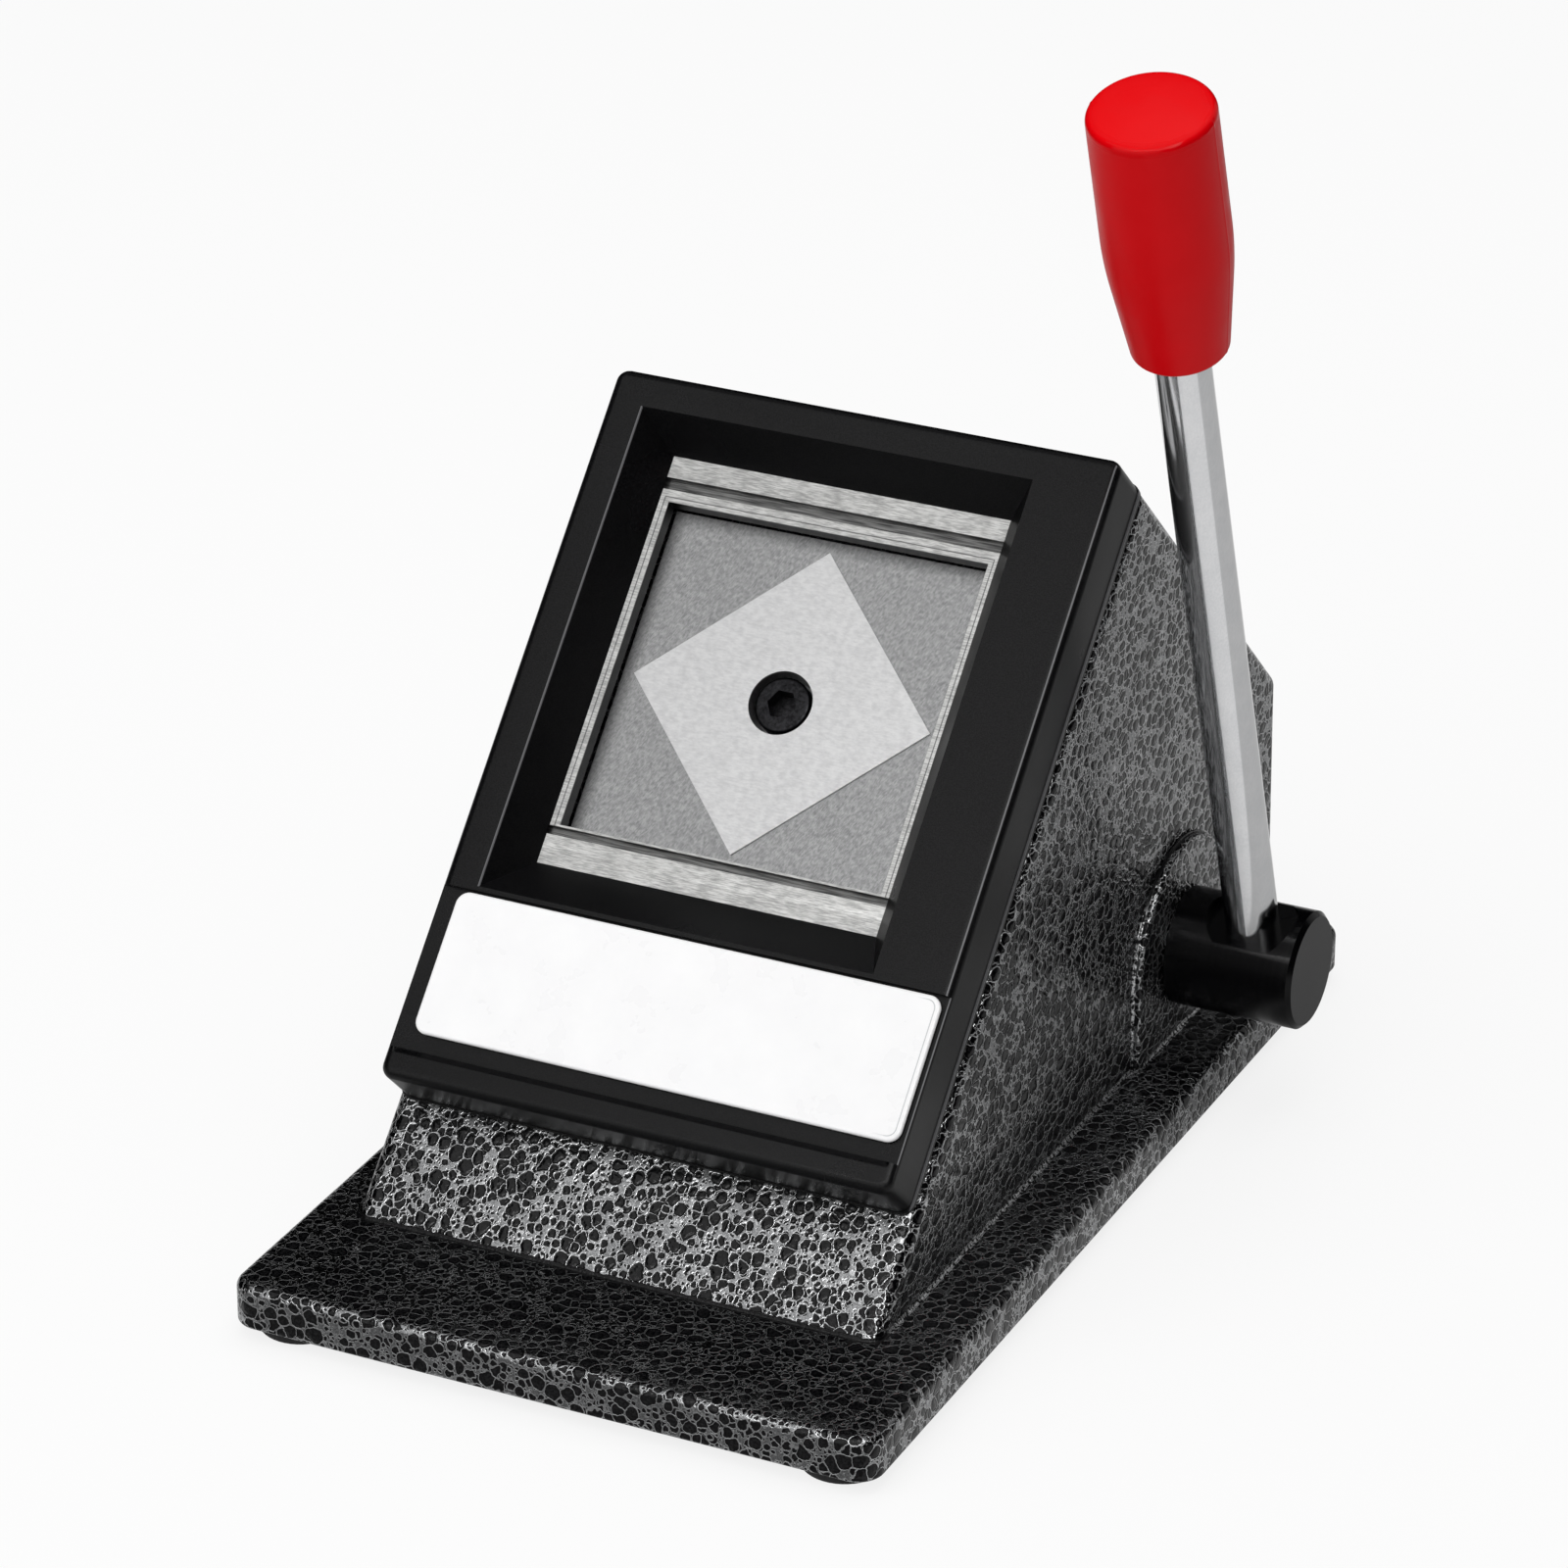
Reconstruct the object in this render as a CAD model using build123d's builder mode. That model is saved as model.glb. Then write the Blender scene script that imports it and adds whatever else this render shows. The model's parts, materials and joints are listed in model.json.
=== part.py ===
from build123d import *
import os
from math import asin, cos, degrees, hypot, radians, sin

# Photo cutter: a desk-top die that punches a square photo out of a print.
# The base lies on the table. X runs to the user's right, Y to the back, Z up.
# The origin is the centre of the base, level with the bottom of its feet.
# All sizes are millimetres and all angles degrees.

# Base plate and its feet
base_width = 100.0
base_length = 172.0
base_thickness = 6.8
base_corner_radius = 4.0
base_top_round = 1.5
base_bottom_round = 0.5
foot_radius = 6.2
foot_height = 2.0
foot_inset = 1.5
foot_round = 0.5

# Body housing
body_offset = 1.8
body_front_margin = 24.2
body_width = 82.6
body_depth = 144.4
body_draft_angle = 0.67
body_edge_round = 2.4
face_angle = 46.0
front_strip = 18.7
front_wall = 6.0
side_wall = 5.1
end_wall = 4.0
base_screw_radius = 2.0
base_screw_head_radius = 4.0
base_screw_length = 17.8
screw_post_radius = 5.0
screw_post_height = 12.0
screw_post_spread = 62.0
front_post_distance = 18.8
back_post_distance = 8.2

# Bezel over the sloping front
bezel_width = 80.0
bezel_height = 111.1
bezel_thickness = 10.3
bezel_draft = 0.1
bezel_corner_radius = 2.0
bezel_edge_round = 1.4
bezel_flange_proud = 0.25
bezel_flange_thickness = 0.8
window_left = 34.3
window_right = 27.9
window_bottom = 30.0
window_top_margin = 5.5
window_side_slope = 4.2
window_bottom_slope = 7.1
window_top_slope = 4.3
lip_height = 4.5
trough_height = 24.8
trough_depth = 0.8

# Blank label plate
label_width = 76.0
label_height = 21.7
label_thickness = 1.0
label_corner_radius = 2.0
label_shift = 1.1
label_gap = 2.7

# Die plate and the guide under it
die_shift = 3.1
die_drop = 42.3
opening_size = 51.0
die_width = 66.0
die_below = 34.8
die_above = 37.8
die_thickness = 2.6
guide_thickness = 0.7
guide_slot_height = 55.0
guide_stop_width = 6.0
die_play = 0.2
upper_groove_start = 1.9
upper_groove_width = 1.8
lower_groove_start = 0.35
lower_groove_width = 1.3
groove_depth = 0.9
entry_height = 0.9

# Small screws of the die plate and the bezel
small_screw_radius = 1.25
small_screw_hole_radius = 1.4
small_head_radius = 2.3
small_head_play = 0.2
small_head_height = 2.5
small_socket_size = 2.0
small_socket_depth = 1.2
die_screw_spread = 60.0
die_screw_height = 62.0
die_screw_length = 6.0
bezel_screw_spread = 60.0
bezel_screw_drop = 0.2
bezel_screw_top_spread = 18.0
bezel_screw_top_inset = 6.7
bezel_screw_reach = 5.6
thread_play = 0.02

# Punch
punch_play = 0.03
punch_thickness = 10.3
punch_recess = 0.4
wall_opening_play = 0.75
face_plate_size = 33.4
face_plate_thickness = 0.35
punch_screw_radius = 2.5
punch_screw_head_radius = 4.25
punch_screw_head_round = 0.5
punch_screw_head_height = 5.0
punch_screw_length = 14.0
punch_screw_pocket_radius = 4.9
punch_screw_sink = 0.6
punch_socket_size = 4.0
punch_socket_depth = 2.5

# Punch holder, pillars and springs
punch_stroke = 4.2
holder_side_gap = 5.1
holder_height = 75.0
holder_thickness = 12.0
neck_width = 24.6
neck_depth = 16.0
fork_slot_width = 12.6
fork_end = 5.3
pillar_radius = 3.0
pillar_spread_share = 5 / 7
pillar_height = 62.0
pillar_seat = 5.0
pillar_tail = 3.2
pillar_play = 0.03
pillar_bush_radius = 4.5
pillar_bush_length = 7.0
ring_radius = 5.0
ring_thickness = 1.0
ring_groove_depth = 0.5
ring_play = 0.05
spring_radius = 4.5
spring_wire_radius = 0.45
spring_turns = 4
spring_pocket_play = 0.3

# Cam and roller
roller_radius = 6.0
roller_drop = 22.0
roller_play = 0.4
roller_slot_play = 1.7
roller_bore_play = 0.03
roller_pin_radius = 2.5
cam_width = 11.6
cam_hub_radius = 11.0
cam_gap = 0.3
cam_lead = 13.0
cam_points = 9
key_size = 4.0
key_play = 0.02

# Drive shaft and its bushes
shaft_back = 43.5
shaft_height = 22.5
shaft_radius = 6.0
shaft_play = 0.03
shaft_end_play = 0.4
bush_radius = 8.0
bush_flange_radius = 9.5
bush_flange_thickness = 1.5
left_bush_length = 6.0
left_boss_length = 7.0
inner_boss_radius = 11.0
right_boss_length = 3.4
boss_radius = 16.8
boss_proud = 1.2
boss_round = 0.5
collar_radius = 10.0
collar_length = 8.0
collar_play = 0.1
set_screw_radius = 2.0
set_screw_socket = 2.0
set_screw_socket_depth = 1.5
set_screw_sink = 0.3

# Lever
lever_lean = 18.3
lever_travel = 50.0
hub_radius = 9.0
hub_length = 20.1
hub_gap = 0.3
hub_chamfer = 0.7
hub_bore_depth = 6.7
hub_set_screw_place = 3.4
rod_place = 11.4
rod_radius = 4.0
rod_spigot_radius = 3.0
rod_spigot_length = 9.0
rod_seat_distance = 7.3
rod_seat_radius = 6.85
rod_top_distance = 149.5
grip_bottom_distance = 117.7
grip_length = 41.3
grip_bottom_radius = 6.9
grip_waist_radius = 9.06
grip_top_radius = 8.97
grip_waist_share = 0.4
grip_bottom_round = 0.8
grip_waist_round = 60.0
grip_top_round = 1.0
grip_dome = 0.8

# How far a cut runs past the face that it leaves
overrun = 1.0

# Places that follow from the sizes above
body_x = -body_offset
base_top = foot_height + base_thickness
body_front_y = body_front_margin - base_length / 2
body_back_y = body_front_y + body_depth
body_half = body_width / 2
cavity_half = body_half - side_wall
window_top = bezel_height - window_top_margin
die_height = bezel_height - die_drop
holder_width = 2 * (cavity_half - die_shift - holder_side_gap)
pillar_spread = pillar_spread_share * holder_width

# The sloping front of the housing: x across, y up the slope, z out of the face.
# Its origin is the middle of the bezel's lower edge.
slope_up = (0, cos(radians(face_angle)), sin(radians(face_angle)))
slope_out = (0, -sin(radians(face_angle)), cos(radians(face_angle)))
seat = Plane(
    origin=(body_x, body_front_y + front_strip * slope_up[1], base_top + front_strip * slope_up[2]),
    x_dir=(1, 0, 0),
    z_dir=slope_out,
)
die = Plane(
    origin=seat.from_local_coords((-die_shift, die_height, 0)), x_dir=(1, 0, 0), z_dir=slope_out
)
cam_plane = Plane(
    origin=(die.origin.X, shaft_back, shaft_height), x_dir=slope_up, z_dir=(1, 0, 0)
)
lever = Plane(
    origin=(body_x + body_half + boss_proud + hub_gap + rod_place, shaft_back, shaft_height),
    x_dir=(1, 0, 0),
    z_dir=(0, -sin(radians(lever_lean)), cos(radians(lever_lean))),
)
shaft_in_die = die.to_local_coords(Vector(die.origin.X, shaft_back, shaft_height))

# Heights above the housing's sloping front
die_under = guide_thickness
die_top = guide_thickness + die_thickness
punch_face = -punch_recess
holder_top = punch_face - punch_thickness
holder_back = holder_top - holder_thickness
roller_height = holder_back - roller_drop
fork_bottom = roller_height - fork_end
spring_seat = holder_back + pillar_bush_length
spring_length = -front_wall - spring_seat
roller_rise = roller_height - shaft_in_die.Z
roller_offset = -shaft_in_die.Y

# Places across the slope
pillar_places = [
    (across * pillar_spread / 2, up * pillar_height / 2) for across in (-1, 1) for up in (-1, 1)
]
die_screw_places = [
    (across * die_screw_spread / 2, up * die_screw_height / 2) for across in (-1, 1) for up in (-1, 1)
]
bezel_screw_top = bezel_height - bezel_screw_top_inset
bezel_screw_height = (die_height - die_below) / 2 - bezel_screw_drop
bezel_low_screws = [(across * bezel_screw_spread / 2, bezel_screw_height) for across in (-1, 1)]
bezel_high_screws = [
    (across * bezel_screw_top_spread / 2 - die_shift, bezel_screw_top) for across in (-1, 1)
]
bezel_screw_places = bezel_low_screws + bezel_high_screws
post_places = [
    (body_x + across * screw_post_spread / 2, y)
    for across in (-1, 1)
    for y in (body_front_y + front_post_distance, body_back_y - back_post_distance)
]

# Places along the shaft
boss_face = body_x + body_half + boss_proud
left_boss_end = body_x - cavity_half + left_boss_length
right_boss_end = body_x + cavity_half - right_boss_length
left_bush_start = left_boss_end - left_bush_length
hub_start = boss_face + hub_gap
shaft_start = left_bush_start + shaft_end_play
shaft_end = hub_start + hub_bore_depth - shaft_end_play
collar_start = left_boss_end + bush_flange_thickness + collar_play


def side_point(along, out):
    """Y and Z of a place on the housing's side, from its place along and out of the slope."""
    place = seat.from_local_coords((0, along, out))
    return (place.Y, place.Z)


def at_height(height, out):
    """Distance along the slope at which a line parallel to it reaches this height."""
    return (height - seat.origin.Z - out * slope_out[2]) / slope_up[2]


def at_depth(y, along):
    """Distance out of the slope at which a line square to it reaches this Y."""
    return (seat.origin.Y + along * slope_up[1] - y) / -slope_out[1]


def bars(plane, places, radius, length, taper=0, mode=Mode.ADD):
    """Round bars of one radius that stand on a plane and may narrow as they rise."""
    with BuildSketch(plane) as ends:
        with Locations(*places):
            Circle(radius)
    extrude(ends.sketch, amount=length, taper=taper, mode=mode)


def block(plane, left, right, low, high, length, mode=Mode.ADD):
    """Square block that stands on a plane between the given edges."""
    with BuildSketch(plane) as end:
        with Locations(((left + right) / 2, (low + high) / 2)):
            Rectangle(right - left, high - low)
    extrude(end.sketch, amount=length, mode=mode)


def sockets(plane, places, size, depth):
    """Hexagon sockets sunk into screw heads whose tops lie on the plane."""
    with BuildSketch(plane) as keys:
        with Locations(*places):
            RegularPolygon(size / 2, side_count=6, major_radius=False)
    extrude(keys.sketch, amount=-depth, mode=Mode.SUBTRACT)


def at_x(x, radial_up=(0, 0, 1)):
    """Plane square to the shaft at the given X, centred on it, facing right."""
    return Plane(origin=(x, shaft_back, shaft_height), x_dir=radial_up, z_dir=(1, 0, 0))


def save(part, name):
    """Name a finished piece and write it to its own file."""
    part.label = name
    export_step(part, f"parts/{name}.step")


os.makedirs("parts", exist_ok=True)

# Base plate: a flat casting with countersunk holes for the housing's screws
with BuildPart() as base_plate:
    with BuildSketch(Plane.XY.offset(foot_height)):
        RectangleRounded(base_width, base_length, base_corner_radius)
    extrude(amount=base_thickness)
    fillet(base_plate.faces().sort_by(Axis.Z)[-1].edges(), radius=base_top_round)
    fillet(base_plate.faces().sort_by(Axis.Z)[0].edges(), radius=base_bottom_round)
    bars(
        Plane.XY.offset(foot_height), post_places, base_screw_radius + thread_play,
        base_thickness, mode=Mode.SUBTRACT,
    )
    bars(
        Plane.XY.offset(foot_height), post_places, base_screw_head_radius + thread_play,
        base_screw_head_radius - base_screw_radius, taper=45, mode=Mode.SUBTRACT,
    )
save(base_plate.part, "base_plate")

# Four rubber feet stuck under the corners of the base
foot_spread = (
    base_width - 2 * (foot_inset + foot_radius), base_length - 2 * (foot_inset + foot_radius)
)
foot_places = [
    (across * foot_spread[0] / 2, along * foot_spread[1] / 2)
    for across in (-1, 1)
    for along in (-1, 1)
]
with BuildPart() as rubber_feet:
    bars(Plane.XY, foot_places, foot_radius, foot_height)
    fillet(rubber_feet.faces().filter_by(Axis.Z).group_by(Axis.Z)[0].edges(), radius=foot_round)
save(rubber_feet.part, "rubber_feet")

# Countersunk screws that come up through the base into the housing's posts
with BuildPart() as base_screws:
    bars(Plane.XY.offset(foot_height), post_places, base_screw_radius, base_screw_length)
    bars(
        Plane.XY.offset(foot_height), post_places, base_screw_head_radius,
        base_screw_head_radius - base_screw_radius, taper=45,
    )
    sockets(
        Plane.XY.offset(foot_height).rotated((180, 0, 0)),
        [(x, -y) for x, y in post_places],
        small_socket_size,
        small_socket_depth,
    )
save(base_screws.part, "base_screws")

# Body housing: a cast shell, open below, with a sloping front, a slope down to
# the back square to it, posts for the base screws and bosses for the shaft
ridge = side_point(bezel_height, 0)
back_corner = side_point(bezel_height, at_depth(body_back_y, bezel_height))
cavity_ridge = side_point(bezel_height - end_wall, -front_wall)
cavity_corner = side_point(
    bezel_height - end_wall, at_depth(body_back_y - end_wall, bezel_height - end_wall)
)
cavity_foot = side_point(at_height(base_top, -front_wall), -front_wall)
body_rise = ridge[1] - base_top
with BuildPart() as body_housing:
    with BuildSketch(Plane.YZ.offset(body_x)):
        with BuildLine():
            Polyline(
                (body_front_y, base_top), ridge, back_corner, (body_back_y, base_top), close=True
            )
        make_face()
    extrude(amount=body_half, both=True)
    with BuildSketch(Plane.XY.offset(base_top)):
        with Locations((body_x, (body_front_y + body_back_y) / 2)):
            Rectangle(body_width, body_depth + 2 * body_rise)
    extrude(amount=body_rise + overrun, taper=body_draft_angle, mode=Mode.INTERSECT)
    upper_edges = body_housing.edges().filter_by(
        lambda edge: edge.center().Z > base_top + body_edge_round
    )
    fillet(upper_edges, radius=body_edge_round)
    # Pad round the shaft on the right wall, arched on top and straight down to the base
    with BuildSketch(Plane.YZ.offset(body_x + cavity_half)):
        with Locations((shaft_back, shaft_height)):
            Circle(boss_radius)
        with Locations((shaft_back, (base_top + shaft_height) / 2)):
            Rectangle(2 * boss_radius, shaft_height - base_top)
        with Locations((shaft_back, base_top - boss_radius)):
            Rectangle(2 * boss_radius, 2 * boss_radius, mode=Mode.SUBTRACT)
    extrude(amount=boss_face - body_x - cavity_half)
    pad_edges = body_housing.faces().sort_by(Axis.X)[-1].edges().filter_by(
        lambda edge: edge.center().Z > base_top + boss_round
    )
    fillet(pad_edges, radius=boss_round)
    # Hollow inside
    with BuildSketch(Plane.YZ.offset(body_x)):
        with BuildLine():
            Polyline(
                cavity_foot,
                cavity_ridge,
                cavity_corner,
                (body_back_y - end_wall, base_top),
                (body_back_y - end_wall, base_top - overrun),
                (cavity_foot[0], base_top - overrun),
                close=True,
            )
        make_face()
    extrude(amount=cavity_half, both=True, mode=Mode.SUBTRACT)
    # Posts for the base screws, bosses for the bushes
    bars(Plane.XY.offset(base_top), post_places, screw_post_radius, screw_post_height)
    bars(
        Plane.XY.offset(base_top), post_places, base_screw_radius + thread_play,
        screw_post_height, mode=Mode.SUBTRACT,
    )
    bars(at_x(left_boss_end), [(0, 0)], inner_boss_radius, -left_boss_length - overrun)
    bars(at_x(right_boss_end), [(0, 0)], inner_boss_radius, right_boss_length + overrun)
    bars(
        at_x(left_boss_end), [(0, 0)], bush_radius, -left_bush_length, mode=Mode.SUBTRACT
    )
    bars(
        at_x(right_boss_end - overrun), [(0, 0)], bush_radius,
        boss_face - right_boss_end + 2 * overrun, mode=Mode.SUBTRACT,
    )
    # Opening for the punch, seats for the pillars and holes for the screws
    punch_way = opening_size / 2 + wall_opening_play
    block(
        die.offset(overrun), -punch_way, punch_way, -punch_way, punch_way,
        -front_wall - 2 * overrun, mode=Mode.SUBTRACT,
    )
    bars(
        die.offset(-front_wall), pillar_places, pillar_radius + thread_play, pillar_seat,
        mode=Mode.SUBTRACT,
    )
    bars(
        die, die_screw_places, small_screw_radius + thread_play, die_top - die_screw_length,
        mode=Mode.SUBTRACT,
    )
    bars(
        seat, bezel_screw_places, small_screw_hole_radius, -front_wall, mode=Mode.SUBTRACT
    )
    bars(
        seat.offset(-front_wall), bezel_screw_places, small_head_radius + small_head_play,
        small_head_height, mode=Mode.SUBTRACT,
    )
save(body_housing.part, "body_housing")


def window_at(height):
    """Window of the bezel at a height above the seat: its walls slope down to the die."""
    down = (bezel_thickness - height) / (bezel_thickness - die_top)
    left = -window_left + window_side_slope * down
    right = window_right - window_side_slope * down
    low = window_bottom + window_bottom_slope * down
    high = window_top - window_top_slope * down
    with BuildSketch(seat.offset(height)) as edge:
        with Locations(((left + right) / 2, (low + high) / 2)):
            Rectangle(right - left, high - low)
    return edge.sketch


# Bezel: a moulded frame with a sloping window, a trough for the label plate,
# a thin flange along its back edge, a pocket for the die and a slot on the left
bezel_half = bezel_width / 2
with BuildPart() as bezel:
    with BuildSketch(seat):
        with Locations((0, (bezel_height - bezel_draft) / 2)):
            RectangleRounded(
                bezel_width + 2 * bezel_draft, bezel_height + bezel_draft, bezel_corner_radius
            )
    draft_angle = degrees(asin(bezel_draft / bezel_thickness))
    extrude(amount=bezel_thickness, taper=draft_angle)
    fillet(bezel.faces().sort_by(Axis((0, 0, 0), slope_out))[-1].edges(), radius=bezel_edge_round)
    with BuildSketch(seat):
        with Locations((0, (bezel_height - bezel_draft - bezel_flange_proud) / 2)):
            RectangleRounded(
                bezel_width + 2 * (bezel_draft + bezel_flange_proud),
                bezel_height + bezel_draft + bezel_flange_proud,
                bezel_corner_radius,
            )
    extrude(amount=bezel_flange_thickness)
    loft([window_at(die_top - overrun), window_at(bezel_thickness + overrun)], mode=Mode.SUBTRACT)
    trough_top = lip_height + trough_height
    block(
        seat.offset(bezel_thickness - trough_depth), -bezel_half - overrun, bezel_half + overrun,
        lip_height, trough_top, trough_depth + overrun, mode=Mode.SUBTRACT,
    )
    pocket_half = die_width / 2 + die_play
    block(
        die.offset(-overrun), -pocket_half, pocket_half, -die_below - die_play,
        die_above + die_play, die_top + overrun, mode=Mode.SUBTRACT,
    )
    block(
        die.offset(-overrun), -bezel_width, -pocket_half + overrun, -guide_slot_height / 2,
        guide_slot_height / 2, entry_height + overrun, mode=Mode.SUBTRACT,
    )
    bars(
        seat, bezel_screw_places, small_screw_radius + thread_play, bezel_screw_reach,
        mode=Mode.SUBTRACT,
    )
save(bezel.part, "bezel")

# Screws that hold the bezel from inside the housing
with BuildPart() as bezel_screws:
    bars(
        seat.offset(bezel_screw_reach), bezel_screw_places, small_screw_radius,
        -bezel_screw_reach - front_wall + small_head_height,
    )
    bars(
        seat.offset(small_head_height - front_wall), bezel_screw_places, small_head_radius,
        -small_head_height,
    )
    sockets(
        seat.offset(-front_wall).rotated((180, 0, 0)),
        [(x, -y) for x, y in bezel_screw_places],
        small_socket_size,
        small_socket_depth,
    )
save(bezel_screws.part, "bezel_screws")

# Blank label plate stuck in the trough
with BuildPart() as label_plate:
    with BuildSketch(seat.offset(bezel_thickness - trough_depth)):
        with Locations((label_shift, lip_height + label_gap + label_height / 2)):
            RectangleRounded(label_width, label_height, label_corner_radius)
    extrude(amount=label_thickness)
save(label_plate.part, "label_plate")

# Guide: a thin spacer, open on the left, that leaves the slot for the print
die_half = die_width / 2
with BuildPart() as photo_guide:
    block(die, -die_half, die_half, -die_below, die_above, guide_thickness)
    block(
        die, -die_half - overrun, die_half - guide_stop_width, -guide_slot_height / 2,
        guide_slot_height / 2, guide_thickness, mode=Mode.SUBTRACT,
    )
    bars(die, die_screw_places, small_screw_hole_radius, guide_thickness, mode=Mode.SUBTRACT)
    bars(seat, bezel_high_screws, small_screw_hole_radius, guide_thickness, mode=Mode.SUBTRACT)
save(photo_guide.part, "photo_guide")

# Die plate: ground steel with the square opening and two milled grooves
opening_half = opening_size / 2
with BuildPart() as die_plate:
    block(die.offset(die_under), -die_half, die_half, -die_below, die_above, die_thickness)
    block(
        die.offset(die_under - overrun), -opening_half, opening_half, -opening_half, opening_half,
        die_thickness + 2 * overrun, mode=Mode.SUBTRACT,
    )
    upper_groove = opening_half + upper_groove_start
    block(
        die.offset(die_top - groove_depth), -die_half - overrun, die_half + overrun, upper_groove,
        upper_groove + upper_groove_width, groove_depth + overrun, mode=Mode.SUBTRACT,
    )
    lower_groove = -opening_half - lower_groove_start
    block(
        die.offset(die_top - groove_depth), -die_half - overrun, die_half + overrun,
        lower_groove - lower_groove_width, lower_groove, groove_depth + overrun, mode=Mode.SUBTRACT,
    )
    bars(
        die.offset(die_under), die_screw_places, small_screw_hole_radius, die_thickness,
        mode=Mode.SUBTRACT,
    )
    bars(
        die.offset(die_top), die_screw_places, small_head_radius + thread_play,
        small_screw_radius - small_head_radius, taper=45, mode=Mode.SUBTRACT,
    )
    bars(
        seat.offset(die_under), bezel_high_screws, small_screw_hole_radius, die_thickness,
        mode=Mode.SUBTRACT,
    )
save(die_plate.part, "die_plate")

# Countersunk screws that hold the die plate to the housing, under the bezel
with BuildPart() as die_screws:
    bars(die.offset(die_top), die_screw_places, small_screw_radius, -die_screw_length)
    bars(
        die.offset(die_top), die_screw_places, small_head_radius,
        small_screw_radius - small_head_radius, taper=45,
    )
save(die_screws.part, "die_screws")

# Punch: a ground square block that just clears the die's opening
punch_half = opening_half - punch_play
face_plate_top = punch_face + face_plate_thickness
screw_top = face_plate_top - punch_screw_sink
pocket_floor = screw_top - punch_screw_head_height
with BuildPart() as punch:
    block(die.offset(holder_top), -punch_half, punch_half, -punch_half, punch_half, punch_thickness)
    bars(
        die.offset(punch_face), [(0, 0)], punch_screw_pocket_radius, pocket_floor - punch_face,
        mode=Mode.SUBTRACT,
    )
    bars(
        die.offset(punch_face), [(0, 0)], punch_screw_radius + thread_play, -punch_thickness,
        mode=Mode.SUBTRACT,
    )
save(punch.part, "punch")

# Thin square plate under the screw head, turned cornerwise on the punch
with BuildPart() as punch_face_plate:
    with BuildSketch(die.offset(punch_face)):
        Rectangle(face_plate_size, face_plate_size, rotation=45)
        Circle(punch_screw_pocket_radius, mode=Mode.SUBTRACT)
    extrude(amount=face_plate_thickness)
save(punch_face_plate.part, "punch_face_plate")

# Socket screw that pulls the punch down onto its holder
with BuildPart() as punch_screw:
    bars(die.offset(pocket_floor), [(0, 0)], punch_screw_head_radius, punch_screw_head_height)
    head_edge = punch_screw.faces().sort_by(Axis((0, 0, 0), slope_out))[-1].edges()
    fillet(head_edge, radius=punch_screw_head_round)
    bars(die.offset(pocket_floor), [(0, 0)], punch_screw_radius, -punch_screw_length)
    sockets(die.offset(screw_top), [(0, 0)], punch_socket_size, punch_socket_depth)
save(punch_screw.part, "punch_screw")

# Punch holder: a plate on four bushes, with a fork behind it for the roller
fork_half = fork_slot_width / 2
neck_half = neck_width / 2
with BuildPart() as punch_holder:
    block(
        die.offset(holder_back), -holder_width / 2, holder_width / 2, -holder_height / 2,
        holder_height / 2, holder_thickness,
    )
    block(
        die.offset(fork_bottom), -neck_half, neck_half, -neck_depth / 2, neck_depth / 2,
        holder_back - fork_bottom,
    )
    block(
        die.offset(fork_bottom - overrun), -fork_half, fork_half, -neck_depth, neck_depth,
        fork_end + roller_radius + roller_slot_play + overrun, mode=Mode.SUBTRACT,
    )
    bars(die.offset(holder_back), pillar_places, pillar_bush_radius, holder_thickness, mode=Mode.SUBTRACT)
    bars(
        die.offset(spring_seat), pillar_places, spring_radius + spring_pocket_play,
        holder_thickness - pillar_bush_length, mode=Mode.SUBTRACT,
    )
    bars(
        die.offset(holder_top), [(0, 0)], punch_screw_radius + thread_play,
        pocket_floor - punch_screw_length - holder_top, mode=Mode.SUBTRACT,
    )
    roller_axis = Plane(
        origin=die.from_local_coords((-neck_half - overrun, 0, roller_height)),
        x_dir=slope_up,
        z_dir=(1, 0, 0),
    )
    bars(
        roller_axis, [(0, 0)], roller_pin_radius + thread_play, neck_width + 2 * overrun,
        mode=Mode.SUBTRACT,
    )
save(punch_holder.part, "punch_holder")

# Four pillars pressed into the front wall, each grooved for a retaining ring
ring_top = holder_back - ring_play
pillar_end = ring_top - ring_thickness - pillar_tail
pillar_start = pillar_seat - front_wall
with BuildPart() as guide_pillars:
    bars(die.offset(pillar_end), pillar_places, pillar_radius, pillar_start - pillar_end)
    with BuildSketch(die.offset(ring_top)) as groove_rings:
        with Locations(*pillar_places):
            Circle(pillar_radius + overrun)
            Circle(pillar_radius - ring_groove_depth, mode=Mode.SUBTRACT)
    extrude(amount=-ring_thickness, mode=Mode.SUBTRACT)
save(guide_pillars.part, "guide_pillars")

# Retaining rings that stop the holder on its way back
with BuildPart() as pillar_rings:
    bars(die.offset(ring_top), pillar_places, ring_radius, -ring_thickness)
    bars(
        die.offset(ring_top), pillar_places, pillar_radius - ring_groove_depth, -ring_thickness,
        mode=Mode.SUBTRACT,
    )
save(pillar_rings.part, "pillar_rings")

# Bronze bushes pressed into the holder, sliding on the pillars
with BuildPart() as pillar_bushes:
    bars(die.offset(holder_back), pillar_places, pillar_bush_radius, pillar_bush_length)
    bars(
        die.offset(holder_back), pillar_places, pillar_radius + pillar_play, pillar_bush_length,
        mode=Mode.SUBTRACT,
    )
save(pillar_bushes.part, "pillar_bushes")

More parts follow.
